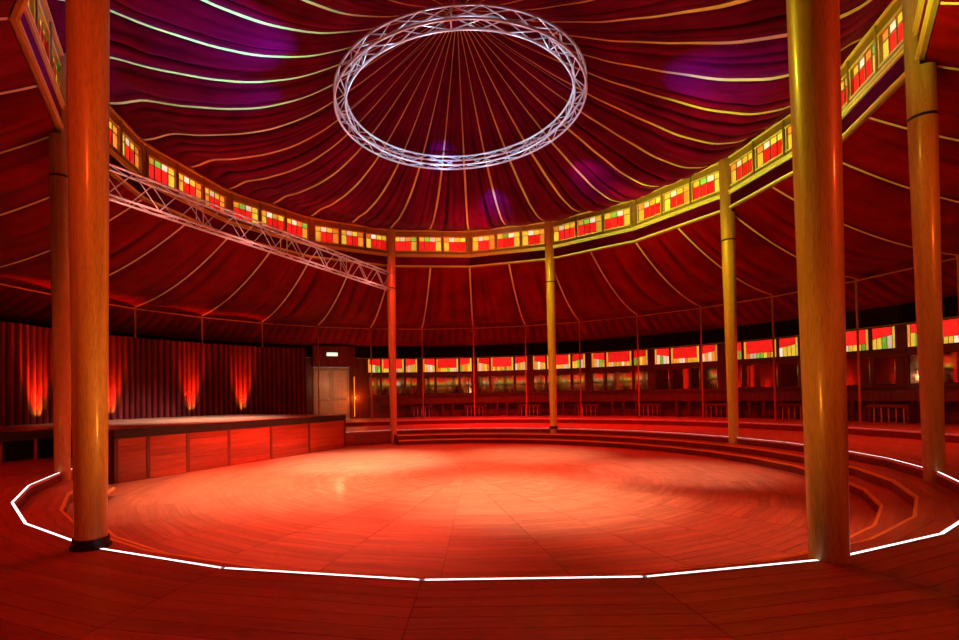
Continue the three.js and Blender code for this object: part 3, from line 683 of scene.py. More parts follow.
def masts():
    heights = [0.0, 0.6, 1.5, 2.6, 3.7, 4.8, 5.9, NOTCH_Z, NOTCH_Z + 0.001, 7.6, MAST_TOP]
    profile = [(mast_radius(z), z) for z in heights]
    for i, degrees in enumerate(MASTS):
        made = Batch()
        made.turned(profile, polar(RING_R, degrees), 40, None, degrees, mast_limit)
        mast = made.piece(f"mast_{i + 1}_timber", MAST, "mast_timber", smooth=True)
        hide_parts(f"mast_{i + 1}")
    clamps = Batch()
    strap = mast_radius(6.15) + 0.001
    base = DECK_Z + 0.001
    foot = [(0.127, base), (0.160, base), (0.160, base + 0.02), (0.142, base + 0.035), (0.142, base + 0.09),
            (0.127, base + 0.09)]
    for degrees in MASTS:
        centre = polar(RING_R, degrees)
        clamps.turned(rectangle((strap, strap + 0.006), STRAP_Z), centre, 32, 0.5)
        if degrees not in CLAMPED:
            continue
        clamps.turned(foot, centre, 28, 0.5)
        for k in range(6):
            bolt = centre + polar(0.150, degrees + 30 + k * 60)
            clamps.turned([(0.007, base + 0.02), (0.007, base + 0.032)], bolt, 6, 0.7)
    clamps.piece("mast_clamps", BLACK, "truss_metal", smooth=True)


# Floors
BOARD = 0.14
SEAM = 0.004
LIFT = 0.004


def under_stage(degrees, out, lap=0.4):
    """Whether a board at this distance lies wholly under the stage."""
    point = polar(out, degrees)
    ahead = float(point @ polar(1, STAGE))
    right = float(point @ polar(1, STAGE - 90))
    return STAGE_FRONT + lap < ahead and STAGE_LEFT + lap < right < STAGE_RIGHT - lap


def boards(made, side, inner, outer, z):
    """Boards across one of the 32 sectors, mitred at its ends."""
    first, last = apothem(inner), apothem(outer)
    count = max(1, round((last - first) / BOARD))
    pitch = (last - first) / count
    for k in range(count):
        low, high = first + k * pitch + SEAM / 2, first + (k + 1) * pitch - SEAM / 2
        if not under_stage(middle_of(side), (low + high) / 2):
            made.plan(middle_of(side), wedge(low, high, SEAM, SEAM), (z - LIFT, z + LIFT))


def floors():
    dance, deck, steps = batches(3)
    for side in range(SIDES):
        bay = STEPS_FROM < middle_of(side) < STEPS_TO
        boards(dance, side, 1.6, RING_R - 0.001 if bay else FLOOR_R - 0.001, FLOOR_Z)
        boards(deck, side, RING_R + 0.037, PLATFORM_R - 0.004, DECK_Z)
        boards(deck, side, PLATFORM_R + 0.037, WALL_R - 0.004, PLATFORM_Z)
        if not bay:
            boards(steps, side, FLOOR_R + 0.02, STEP_R - 0.004, LOW_Z)
            boards(steps, side, STEP_R + 0.02, RING_R - 0.004, HIGH_Z)
    level = (FLOOR_Z - LIFT, FLOOR_Z + LIFT)
    for k in range(SIDES):
        dance.plan(middle_of(k), wedge(0.12, 1.30, 0.001, 0.004), level, 0, k % 2 * 0.7)
        dance.plan(middle_of(k), wedge(1.31, 1.575, 0.003, 0.003), level, 1, 0.5 + 0.5 * (k % 2))
    dance.turned([(0.11, z) for z in level], (0, 0, 0), 32, 0.9)
    dance.piece("dance_floor_boards", FLOOR, "floor_boards")
    deck.piece("deck_boards", FLOOR, "floor_boards", bevel=0.0015)
    steps.piece("step_boards", FLOOR, "floor_boards")
    recoat(("deck_", "aisle_platform", "dance_floor", "lower_step", "upper_step", "stage_deck"), FLOOR_BASE)


def edge_strips():
    """Light strips along the deck and platform edges, and brass nosings on the steps."""
    light_strip, dim, housing, nosing, facing = batches(5)
    for side in range(SIDES):
        bay = STEPS_FROM < middle_of(side) < STEPS_TO
        for radius, top in ((RING_R, DECK_Z), (PLATFORM_R, PLATFORM_Z)):
            if under_stage(middle_of(side), radius):
                continue
            lamp = light_strip if radius == RING_R else dim
            lamp.strip(side, radius, (0.006, 0.026), 0.022, (top + 0.001, top + 0.009))
            housing.strip(side, radius, (-0.006, 0.003), 0.002, (top - 0.035, top + 0.010))
            if bay and radius == RING_R:
                for z in (0.118, 0.27, 0.422):
                    facing.strip(side, radius, -0.013, 0.004, (z, z + 0.149))
            housing.strip(side, radius, (0.031, 0.036), 0.002, (top + 0.001, top + 0.010))
        if not bay:
            for radius, top in ((FLOOR_R, LOW_Z), (STEP_R, HIGH_Z)):
                nosing.strip(side, radius, (-0.006, 0.03), 0.003, (top - 0.001, top + 0.006))
                nosing.strip(side, radius, (-0.006, -0.001), 0.003, (top - 0.03, top + 0.006))
    light_strip.piece("deck_light_strips", LED, "truss_metal")
    dim.piece("platform_light_strips", DIM_LED, "truss_metal")
    facing.piece("deck_facing", STAGE_WOOD, bevel=0.002)
    housing.piece("edge_light_housings", TRUSS_METAL, "truss_metal")
    nosing.piece("step_nosings", GOLD, "truss_metal")


# Lantern
WINDOW_PITCH = 0.975
WINDOW_HALF = 0.435
PANE_LOW, PANE_MID, PANE_HIGH, PANE_LAP = 7.64, 8.02, 8.19, 0.035
TALL_ROWS = [("yellow", "red", "red", "red"), ("orange", "red", "red", "yellow"),
             ("red", "red", "red", "yellow")]
SMALL_ROWS = [("yellow", "cream", "green", "yellow"), ("orange", "yellow", "cream", "yellow"),
              ("yellow", "yellow", "cream", "orange"), ("green", "orange", "cream", "yellow")]
LANTERN_INNER = apothem(RING_R - 0.03, LANTERN_SIDES)
LANTERN_OUTER = apothem(RING_R + 0.03, LANTERN_SIDES)


def lantern_window(panes, bars, gold, middle, centre):
    """Four tall panes under four small ones, with their bars and a gilded frame."""
    style = int(rng.integers(0, 4))
    width = 2 * WINDOW_HALF / 4
    left, right = centre - WINDOW_HALF, centre + WINDOW_HALF
    glass = (LANTERN_OUTER + 0.0006, LANTERN_OUTER + 0.008)
    for column, (tall, small) in enumerate(zip(TALL_ROWS[style % 3], SMALL_ROWS[style])):
        a = left + column * width
        reach = (a - PANE_LAP * (column == 0), a + width + PANE_LAP * (column == 3))
        panes[tall].block(middle, glass, reach, (PANE_LOW - PANE_LAP, PANE_MID))
        panes[small].block(middle, glass, reach, (PANE_MID, PANE_HIGH + PANE_LAP))
        if column:
            bars.block(middle, (LANTERN_OUTER - 0.028, LANTERN_OUTER), (a - 0.009, a + 0.009),
                       (PANE_LOW, PANE_HIGH))
    bars.block(middle, (LANTERN_OUTER - 0.026, LANTERN_OUTER), (left, right),
               (PANE_MID - 0.009, PANE_MID + 0.009))
    for z in ((PANE_LOW - 0.03, PANE_LOW + 0.012), (PANE_HIGH - 0.012, PANE_HIGH + 0.03)):
        gold.block(middle, seated(LANTERN_INNER, -0.014), (left - 0.03, right + 0.03), z)
    for a in (left, right):
        gold.block(middle, seated(LANTERN_INNER, -0.012), (a - 0.012, a + 0.012), (PANE_LOW, PANE_HIGH))


def lantern():
    panes = {colour: Batch() for colour in PANES}
    bars, gold, velvet_band = batches(3)
    for side in range(LANTERN_SIDES):
        middle = (side + 0.5) * LANTERN_STEP
        for window in (-1, 0, 1):
            lantern_window(panes, bars, gold, middle, window * WINDOW_PITCH)
        for edge in (-1.5, -0.5, 0.5, 1.5):
            a = edge * WINDOW_PITCH
            bars.block(middle, seated(LANTERN_INNER, -0.035), (a - 0.022, a + 0.022), (7.52, 8.44))
    face = apothem(RING_R - 0.0305, LANTERN_SIDES)
    for made, low, high, depth in (
            (gold, 7.395, 7.43, 0.05), (gold, 7.43, 7.46, 0.03), (gold, 7.46, 7.505, 0.065),
            (gold, 7.02, 7.065, 0.045), (velvet_band, 7.07, 7.39, 0.012), (gold, 8.40, 8.44, 0.05),
            (gold, 8.44, 8.455, 0.03)):
        for side in range(LANTERN_SIDES):
            made.plan((side + 0.5) * LANTERN_STEP, wedge(face - depth, face, tan=LANTERN_TAN), (low, high))
    for colour, batch in panes.items():
        piece = batch.piece(f"lantern_panes_{colour}", PANES[colour], "coloured_glass")
        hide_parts("lantern_glass")
    bars.piece("lantern_bars", FRAME_WOOD, bevel=0.003)
    gold.piece("lantern_mouldings", GOLD, bevel=0.003)
    velvet_band.piece("lantern_velvet_band", HALL_VELVET, "velvet")
    recoat("lantern_frame", FRAME_BASE)


# Wall
WALL_FACE = apothem(WALL_R)
WALL_HALF = half_side(WALL_R)
OUTSIDE_R = WALL_R + 0.07
WINDOW_LOW, WINDOW_HIGH, WINDOW_LAP = 3.22, 3.92, 0.03
LEAD = 0.006
# Transom windows of a side: reach aside, strip at each end, height of the small panes there, their count
WINDOWS = [
    ((-1.305, -0.695), (0.08, 0.0), (0.44, 0.33), 4),
    ((-0.585, 0.585), (0.09, 0.09), (0.21, 0.21), 8),
    ((0.675, 1.305), (0.0, 0.08), (0.33, 0.44), 4),
]
SMALL_COLOURS = ("cream", "yellow", "yellow", "cream", "green", "yellow", "orange", "yellow")


def wall_panes(panes, bars, middle):
    """The three transom windows of one side: a red field over a row of small panes, between yellow strips."""
    glass, leads = (WALL_FACE - 0.0084, WALL_FACE - GAP), (WALL_FACE - 0.016, WALL_FACE - 0.0085)
    under, over = WINDOW_LOW - WINDOW_LAP, WINDOW_HIGH + WINDOW_LAP
    for (left, right), (start, end), rises, count in WINDOWS:
        a = left + start if start else left - WINDOW_LAP
        b = right - end if end else right + WINDOW_LAP

        def top(x):
            return WINDOW_LOW + rises[0] + (rises[1] - rises[0]) * (x - a) / (b - a)

        if start:
            panes["yellow"].block(middle, glass, (left - WINDOW_LAP, a), (under, over))
        if end:
            panes["orange"].block(middle, glass, (b, right + WINDOW_LAP), (under, over))
        panes["red"].upright(middle, [(a, top(a)), (a, over), (b, over), (b, top(b))], glass)
        for k in range(count):
            x0, x1 = a + (b - a) * k / count, a + (b - a) * (k + 1) / count
            colour = SMALL_COLOURS[int(rng.integers(0, len(SMALL_COLOURS)))]
            panes[colour].upright(middle, [(x0, under), (x0, top(x0)), (x1, top(x1)), (x1, under)], glass)
            if k:
                bars.block(middle, leads, (x0 - LEAD, x0 + LEAD), (WINDOW_LOW, top(x0)))
        line = [(a, top(a) - LEAD), (a, top(a) + LEAD), (b, top(b) + LEAD), (b, top(b) - LEAD)]
        bars.upright(middle, line, leads)
        for x in ([a] if start else []) + ([b] if end else []):
            bars.block(middle, leads, (x - LEAD, x + LEAD), (WINDOW_LOW, WINDOW_HIGH))


def wall_inside():
    panes = {colour: Batch() for colour in PANES}
    lead, frames, posts, mirrors, black, rail = batches(6)
    low, high = WINDOW_LOW, WINDOW_HIGH
    end = WALL_HALF - 0.13
    for side in range(SIDES):
        middle = middle_of(side)
        # A black band along the top of the wall, from 3.99 m to 4.60 m up.
        black.strip(side, WALL_R, -0.02, 0.002, (3.99, 4.60))
        rail.strip(side, WALL_R, -0.055, 0, (3.955, 3.992))
        if side == DOOR_SIDE:
            continue
        wall_panes(panes, lead, middle)
        frames.strip(side, WALL_R, (-0.045, -0.0088), 0.14, (high, high + 0.034))
        frames.strip(side, WALL_R, (-0.060, -0.0088), 0.14, (low - 0.045, low))
        for aside in ((-end, -1.305), (-0.695, -0.585), (0.585, 0.675), (1.305, end)):
            frames.block(middle, (WALL_FACE - 0.045, WALL_FACE - 0.0088), aside, (low, high))
        for z in ((2.97, 3.17), (1.90, 2.03)):
            frames.strip(side, WALL_R, -0.04, 0.14, z)
        for aside in ((-end, -1.29), (-0.70, -0.60), (0.60, 0.70), (1.29, end)):
            frames.block(middle, seated(WALL_FACE, -0.038), aside, (2.03, 2.97))
        for aside in ((-1.29, -0.70), (-0.60, 0.60), (0.70, 1.29)):
            panel(mirrors, middle, WALL_FACE - 0.001, aside, (2.03, 2.97), -0.012, 0.028)
        frames.strip(side, WALL_R, -0.03, 0.02, (0.83, 0.98))
    for i in range(SIDES):
        degrees = i * STEP
        foot = 1.875 if behind_counter(degrees) else 0.825
        posts.block(degrees, (14.935, 14.99), (-0.145, 0.145), (foot, 3.955))
        for z in (1.90, 3.05, 3.82):
            posts.block(degrees, (14.915, 14.95), (-0.155, 0.155), (z, z + 0.05))
        posts.block(degrees, (14.922, 14.95), (-0.09, 0.09), (2.05, 2.98))
    for colour, batch in panes.items():
        piece = batch.piece(f"wall_panes_{colour}", PANES[colour], "coloured_glass")
        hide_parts("wall_glass")
    lead.piece("wall_lead_bars", BLACK)
    frames.piece("wall_frames", TIMBER, bevel=0.004)
    posts.piece("wall_posts", TIMBER, bevel=0.006)
    mirrors.piece("wall_mirrors", MIRROR, "coloured_glass")
    black.piece("wall_black_band", BLACK_TOP_BAND)
    rail.piece("wall_rail", FRAME_WOOD, bevel=0.004)
    recoat(("outer_wall", "wall_left", "wall_right", "wall_over", "counter", "stage_base", "wing"),
           TIMBER_BASE)


def behind_counter(degrees):
    return degrees > 205.4 or degrees < 109.5


def panel(made, degrees, back, aside, z, depth, slope):
    """A plate with a bevelled border, which stands outwards, or inwards where its depth is negative."""
    (a, b), (low, high) = aside, z
    outline = rectangle(aside, z)
    inside = rectangle((a + slope, b - slope), (low + slope, high - slope))
    rings = [(outline, back), (outline, back + math.copysign(0.004, depth)), (inside, back + depth)]
    verts = [spot(degrees, out, x, h) for ring, out in rings for x, h in ring]
    faces = [(3, 2, 1, 0), (8, 9, 10, 11)]
    for ring in (0, 4):
        faces += [(ring + k, ring + (k + 1) % 4, ring + 4 + (k + 1) % 4, ring + 4 + k) for k in range(4)]
    if depth < 0:
        faces = [face[::-1] for face in faces]
    grain = [(x, h, out) if depth < 0 else (h, x, out) for ring, out in rings for x, h in ring]
    made.add(verts, faces, grain)


def wall_outside():
    """Framed panels, window bars and corner posts on the outside of the wall."""
    stiles, fields, gold, caps = batches(4)
    face, half = apothem(OUTSIDE_R), half_side(OUTSIDE_R) - 0.15
    for side in range(SIDES):
        middle = middle_of(side)
        if side == DOOR_SIDE:
            stiles.strip(side, OUTSIDE_R, 0.03, 0.15, (3.56, 3.70))
            fields.strip(side, OUTSIDE_R, 0.015, 0.15, (3.72, 4.45))
            continue
        for z in ((0.05, 0.28), (1.55, 1.68), (2.98, 3.19), (3.95, 4.10)):
            stiles.strip(side, OUTSIDE_R, 0.03, 0.15, z)
        for a in np.linspace(-half + 0.05, half - 0.05, 5):
            for z in ((0.28, 1.55), (1.68, 2.98)):
                stiles.block(middle, seated(face, 0.028), (a - 0.05, a + 0.05), z)
        edges = np.linspace(-half + 0.10, half - 0.10, 5)
        for a, b in zip(edges[:-1], edges[1:]):
            for z in ((0.36, 1.47), (1.76, 2.90)):
                panel(fields, middle, face + GAP, (a + 0.06, b - 0.06), z, 0.016, 0.05)
        for a in (-0.64, 0.63):
            stiles.block(middle, (face - 0.05, face + 0.02), (a - 0.05, a + 0.05), (WINDOW_LOW, WINDOW_HIGH))
        fields.strip(side, OUTSIDE_R, 0.012, 0.15, (4.12, 4.44))
        for z in (3.14, 3.97):
            gold.strip(side, OUTSIDE_R, (0.03, 0.045), 0.15, (z, z + 0.03))
        gold.strip(side, OUTSIDE_R, (0.012, 0.025), 0.15, (4.40, 4.43))
    for i in range(SIDES):
        for low, high, wide in ((0.002, 0.30, 0.16), (3.002, 3.08, 0.155), (4.302, 4.42, 0.16)):
            caps.block(i * STEP, (15.09, 15.145), (-wide, wide), (low, high))
        caps.block(i * STEP, (15.1255, 15.14), (-0.09, 0.09), (0.45, 2.85))
        gold.block(i * STEP, (15.12, 15.15), (-0.15, 0.15), (3.085, 3.10))
    stiles.piece("outside_stiles", TIMBER, bevel=0.005)
    fields.piece("outside_fields", MAST)
    gold.piece("outside_gilding", GOLD)
    caps.piece("outside_post_trim", TIMBER, bevel=0.006)


# Counters, seats and poles
COUNTER_R = 14.56


def seats():
    spindles, trims, tops = batches(3)
    base = PLATFORM_Z + 0.005
    profile = [(0.024, base), (0.024, 0.90), (0.016, 0.93), (0.026, 1.05), (0.017, 1.18), (0.024, 1.24),
               (0.020, 1.338)]
    for i in range(SIDES):
        degrees = i * STEP
        if not behind_counter(degrees):
            continue
        for k in range(5):
            spindles.turned(profile, spot(degrees, 14.27, -0.40 + k * 0.20, 0), 10)
        trims.block(degrees, (14.205, 14.46), (-0.57, 0.57), (1.392, 1.415))
        trims.block(degrees, (14.215, 14.229), (-0.55, 0.55), (1.30, 1.39))
    for side in range(SIDES):
        if behind_counter(middle_of(side)):
            tops.strip(side, COUNTER_R, (-0.02, 0.40), 0, (1.871, 1.885))
            tops.strip(side, COUNTER_R, (-0.02, -0.001), 0, (1.84, 1.885))
    spindles.piece("seat_spindles", DOOR_WOOD, smooth=True)
    trims.piece("seat_boards", TIMBER, bevel=0.006)
    tops.piece("counter_tops", TIMBER, bevel=0.004)


def poles():
    made = Batch()
    foot, top = PLATFORM_Z + 0.005, 5.30
    profile = [(0.05, foot), (0.05, foot + 0.012), (0.031, foot + 0.014), (0.031, top), (0.045, top + 0.01),
               (0.045, top + 0.03)]
    corners = np.arange(SIDES) * STEP
    for corner in corners:
        made.turned(profile, on_ring(POLE_R, corner), 16)
    made.tube(on_ring(POLE_R, corners, SIDES, 5.265), 0.022, closed=True)
    piece = made.piece("aisle_pole_tubes", POLE_PAINT, "pole_paint", smooth=True)
    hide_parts(*[f"aisle_poles_{i + 1}" for i in range(4)])


# Trusses
def bracing(made, corners, place, panels, thick, frame_thick, every):
    """Diagonals between four chords, and a frame at every few panels. place finds a point of a chord."""
    for index, chord in enumerate(corners):
        after = corners[(index + 1) % 4]
        for k in range(panels):
            a, b = (after, chord) if k % 2 else (chord, after)
            made.tube([place(a, k), place(b, k + 1)], thick, 6)
            if k % every == 0:
                made.tube([place(chord, k), place(after, k)], frame_thick, 6)


def ring_truss():
    chords, braces = batches(2)
    corners = rectangle((2.625, 2.875), (8.595, 8.845))
    for radius, z in corners:
        chords.tube(polar(radius, np.arange(96) * 360 / 96, z), 0.025, 10, closed=True)
    bracing(braces, corners, lambda chord, k: polar(chord[0], k * STEP, chord[1]), SIDES, 0.011, 0.012, 4)
    ring = chords.piece("ring_truss_chords", TRUSS_METAL, "truss_metal", smooth=True)
    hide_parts("ring_truss")
    braces.piece("ring_truss_braces", TRUSS_METAL, "truss_metal", smooth=True)


def stage_truss():
    made = Batch()
    corners = rectangle((5.532, 5.782), (6.095, 6.715))
    reach, panels = 5.45, 20
    for out, z in corners:
        made.tube([stage_spot(out, -5.5, z), stage_spot(out, 5.5, z)], 0.025, 10)

    def place(chord, k):
        return stage_spot(chord[0], -reach + 2 * reach * k / panels, chord[1])

    bracing(made, corners, place, panels, 0.012, 0.014, 5)
    truss = made.piece("stage_truss_tubes", TRUSS_METAL, "truss_metal", smooth=True)
    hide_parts("stage_truss")


def truss_cables():
    made, rosette = batches(2)
    for k in range(4):
        made.tube([polar(2.625, k * 90, 8.90), polar(0.2, k * 90, 10.74)], 0.006)
        made.turned([(0.016, 8.872), (0.016, 8.96)], polar(2.625, k * 90), 10)
    piece = made.piece("truss_cable_lines", STEEL, "truss_metal", smooth=True)
    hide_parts("truss_cables")
    profile = [(0.05, 10.735), (0.20, 10.745), (0.32, 10.76), (0.32, 10.7705), (0.0, 10.7705)]
    rosette.turned(profile, (0, 0, 0))
    rosette.piece("crown_rosette", HALL_VELVET, "velvet", smooth=True)


def crown():
    made = Batch()
    profile = [(0.30, 10.771), (0.33, 10.78), (0.33, 11.37), (0.41, 11.40), (0.41, 11.44), (0.30, 11.50),
               (0.16, 11.56), (0.08, 11.63), (0.07, 11.70), (0.10, 11.73), (0.128, 11.79), (0.10, 11.85),
               (0.05, 11.89), (0.035, 11.96), (0.012, 12.08), (0.001, 12.12)]
    made.turned(profile, (0, 0, 0), 32)
    piece = made.piece("crown_turning", GOLD, smooth=True)
    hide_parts("crown")


# Stage
# Joints between the panels of its front, measured to the right
STAGE_JOINTS = [-4.3, -3.53, -2.52, -1.3, 0.2, 1.84, 3.75]


def stage():
    panels, battens, black, top = batches(4)

    def fitted(made, depth, left, right, z, front=STAGE_FRONT):
        made.block(STAGE, (front - depth, front - 0.001), (-right, -left), z)

    for a, b in zip(STAGE_JOINTS[:-1], STAGE_JOINTS[1:]):
        for row in range(6):
            z = 0.125 + row * 0.1617
            fitted(panels, 0.020, a + 0.04, b - 0.04, (z, z + 0.159))
    for x in STAGE_JOINTS:
        x = min(max(x, STAGE_LEFT + 0.05), STAGE_RIGHT - 0.05)
        fitted(battens, 0.034, x - 0.045, x + 0.045, (0.125, 1.095))
    fitted(black, 0.030, STAGE_LEFT, STAGE_RIGHT, (1.10, 1.305))
    fitted(black, 0.030, WING_LEFT, STAGE_LEFT - 0.001, (1.12, 1.305), WING_FRONT)
    for row in range(46):
        out = STAGE_FRONT + 0.002 + row * BOARD
        reach = math.sqrt(max(0.0, (STAGE_BACK - 0.08) ** 2 - (out + BOARD) ** 2))
        left = max(STAGE_LEFT if out < WING_FRONT else WING_LEFT, -reach)
        right = min(STAGE_RIGHT, reach)
        if right - left > 0.5 and out + BOARD < STAGE_BACK - 0.1:
            top.block(STAGE, (out, out + 0.136), (-right + SEAM, -left - SEAM), (1.297, 1.304))
    for k in range(5):
        x = WING_LEFT + 0.15 + k * 0.63
        panels.block(STAGE, (WING_FRONT + 0.05, WING_FRONT + 0.11), (-x - 0.03, -x + 0.03), (0.625, 1.098))
    panels.piece("stage_panels", STAGE_WOOD, bevel=0.003)
    battens.piece("stage_battens", TIMBER, bevel=0.003)
    black.piece("stage_edge", BLACK)
    top.piece("stage_boards", FLOOR, "floor_boards")
    recoat("wing_skirt", BLACK)


def backdrop():
    """The stage curtain: deep folds that hang along an arc of the pole ring, with painted shade darkening the
    hollows of the folds and painted light on their crests.
    """
    from_deg, to_deg, low, high = 126.5, 200.0, 0.87, 4.21
    columns, levels = 620, 9
    share = np.arange(columns + 1) / columns
    level = np.arange(levels)[:, None]
    z = low + (high - low) * level / (levels - 1)
    fold = np.sin(2 * math.pi * share * 78 + 0.8 * np.sin(share * 61)) * (0.6 + 0.4 * (1 - level / levels))
    rows = on_ring(12.936, from_deg + (to_deg - from_deg) * share) * (1 + 0.030 * fold[:, :, None] / 12.9)
    rows[:, :, 2] = z + 0.01 * np.sin(share * 90)
    grain = [(height, x * 20, 0) for height in z[:, 0] for x in share]
    # Painted shade: the tone is dark where a fold recedes and light where it stands forward.
    piece = sheet("stage_curtain", rows, grain, (0.5 - 0.5 * fold).ravel().tolist(), CURTAIN, joined=False)
    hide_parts("stage_backdrop")


# Exit door, measured along its side from the corner at 112.5 degrees
DOOR_MIDDLE = middle_of(DOOR_SIDE)
LEAVES = {"right_door": (0.860, 1.765), "left_door": (1.775, 2.680)}
LEAF_FACES = ((0.008, 0.0195), (0.0705, 0.078))
PELMET_SIDES = (0.56 - WALL_HALF, 2.76 - WALL_HALF)
PELMET_OUT = 0.26


def door_block(made, along, out, z):
    """A box on the door's side of the wall: along from its first corner, and out from its inner face."""
    reach = (WALL_FACE + out[0], WALL_FACE + out[1])
    made.block(DOOR_MIDDLE, reach, (along[0] - WALL_HALF, along[1] - WALL_HALF), z)


def doors():
    for body, (a, b) in LEAVES.items():
        rails, bars = batches(2)
        ends = (a + 0.004, b - 0.004)
        members = [(ends, z) for z in ((0.832, 1.10), (1.78, 1.93), (3.30, 3.488))]
        for along in ((ends[0], a + 0.13), (b - 0.13, ends[1])):
            members += [(along, z) for z in ((1.10, 1.78), (1.93, 3.30))]
        for along, z in members:
            for out in LEAF_FACES:
                door_block(rails, along, out, z)
        door_block(bars, (a + 0.10, b - 0.10), (-0.065, -0.035), (1.84, 1.875))
        for x in (a + 0.12, b - 0.17):
            door_block(bars, (x, x + 0.05), (-0.06, 0.008), (1.82, 1.895))
        rails.piece(f"{body}_rails", DOOR_WOOD, "door_paint", body=body, bevel=0.003)
        bars.piece(f"{body}_panic_bar", TRUSS_METAL, "truss_metal", body=body, bevel=0.004)
    for name in ("door_leaf_left", "door_leaf_right"):
        recoat(name, wood(name, (0.50, 0.40, 0.28), (0.68, 0.57, 0.42), (0.4, 0.6), 0.1, grain=False,
                          stretch=(8, 8, 0.6)))
    frames, tube, sign = batches(3)
    for along in ((0.72, 0.845), (2.695, 2.80)):
        door_block(frames, along, (-0.02, -GAP), (0.825, 3.53))
    door_block(frames, (0.57, 0.63), (-0.02, -GAP), (0.86, 3.06))
    frames.piece("door_frame", TIMBER, bevel=0.004)
    tube.tube([spot(DOOR_MIDDLE, WALL_FACE - 0.037, 0.60 - WALL_HALF, z) for z in (0.92, 3.0)], 0.016, 10)
    tube.piece("door_light_tube", AMBER, "truss_metal", smooth=True)
    door_block(sign, (1.50, 2.05), (-0.30, -0.262), (4.05, 4.22))
    sign.piece("door_sign", SIGN, "truss_metal")
    pelmet()


def pelmet():
    """Pleated velvet round three sides of the box over the door."""
    a, b = PELMET_SIDES
    front = WALL_FACE - PELMET_OUT
    path = [(WALL_FACE - 0.002, a), (front, a), (front, b), (WALL_FACE - 0.002, b)]
    points = []
    for (o0, s0), (o1, s1) in zip(path[:-1], path[1:]):
        steps = max(6, int(math.hypot(o1 - o0, s1 - s0) / 0.02))
        points += [(o0 + (o1 - o0) * k / steps, s0 + (s1 - s0) * k / steps) for k in range(steps)]
    points.append(path[-1])
    centre = (a + b) / 2
    levels = 6
    rows, grain = [], []
    for j in range(levels):
        z = 3.545 + (4.555 - 3.545) * j / (levels - 1)
        for k, (out, aside) in enumerate(points):
            inward = 0.012 + 0.010 * math.sin(k * 1.25) * (1.2 - j / levels)
            rows.append(spot(DOOR_MIDDLE, max(out, front) + inward * (out < front + 0.01),
                             centre + (aside - centre) * (1 - inward / 1.1), z))
            grain.append((z, k * 0.02, 0))
    rows = np.array(rows).reshape(levels, -1, 3)
    piece = sheet("pelmet_velvet", rows, grain, 0.5, CURTAIN, joined=False)
    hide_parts("door_pelmet")
    box = Batch()
    box.block(DOOR_MIDDLE, (WALL_FACE - 0.235, WALL_FACE - 0.001), (a + 0.02, b - 0.02), (4.53, 4.55))
    box.piece("pelmet_board", TIMBER)


# Lights and surroundings
CURTAIN_LIGHTS = (139.3, 148.6, 161.7, 172.0)
# The two beams of each, up the curtain: rise, width in degrees, watts, colour
CURTAIN_BEAMS = ((0.6, 66, 70, (0.8, 1.0, 0.12)), (1.4, 46, 1300, (1.0, 0.05, 0.02)))
RED = (1.0, 0.008, 0.004)
VIOLET = (0.22, 0.32, 1.0)
OLIVE = (0.85, 1.0, 0.10)
PALE_LIME = (0.8, 1.0, 0.20)
WARM_RED = (1.0, 0.16, 0.09)
# Pools of light on the dance floor: middle, radius, watts, colour
POOLS = {
    "whole": ((-1.6, 0.0), 7.4, 14100, WARM_RED),
    "far_left": ((-2.9, 2.3), 3.2, 6300, (1.0, 0.95, 0.75)),
    "near_left": ((-4.0, -1.4), 3.8, 6800, (1.0, 0.50, 0.30)),
    "near_right": ((1.2, -2.4), 3.0, 4900, (1.0, 0.85, 0.55)),
    "far_right": ((1.9, 3.6), 2.8, 4300, (1.0, 0.65, 0.44)),
    "right": ((4.7, 0.3), 2.6, 5200, (1.0, 0.45, 0.32)),
    "front_right": ((3.4, -4.4), 2.8, 3400, WARM_RED),
    "front_left": ((-1.8, -5.2), 3.0, 2500, (1.0, 0.10, 0.06)),
}
# Washes straight down: place, softness, watts, colour
WASHES = {
    "hall_wash": ((0, 0, 8.2), 0.6, 2700, RED),
    "left_wash": ((-7.5, -7.0, 5.2), 0.4, 660, RED),
    "front_wash": ((0.5, -10.4, 5.2), 0.4, 260, RED),
    "east_wash": ((10.3, 1.5, 5.2), 0.4, 1100, (1.0, 0.03, 0.02)),
    "back_right_wash": ((6.4, 8.2, 5.2), 0.4, 2000, RED),
    "back_wash": ((0.5, 10.3, 5.2), 0.4, 3800, (1.0, 0.015, 0.02)),
}
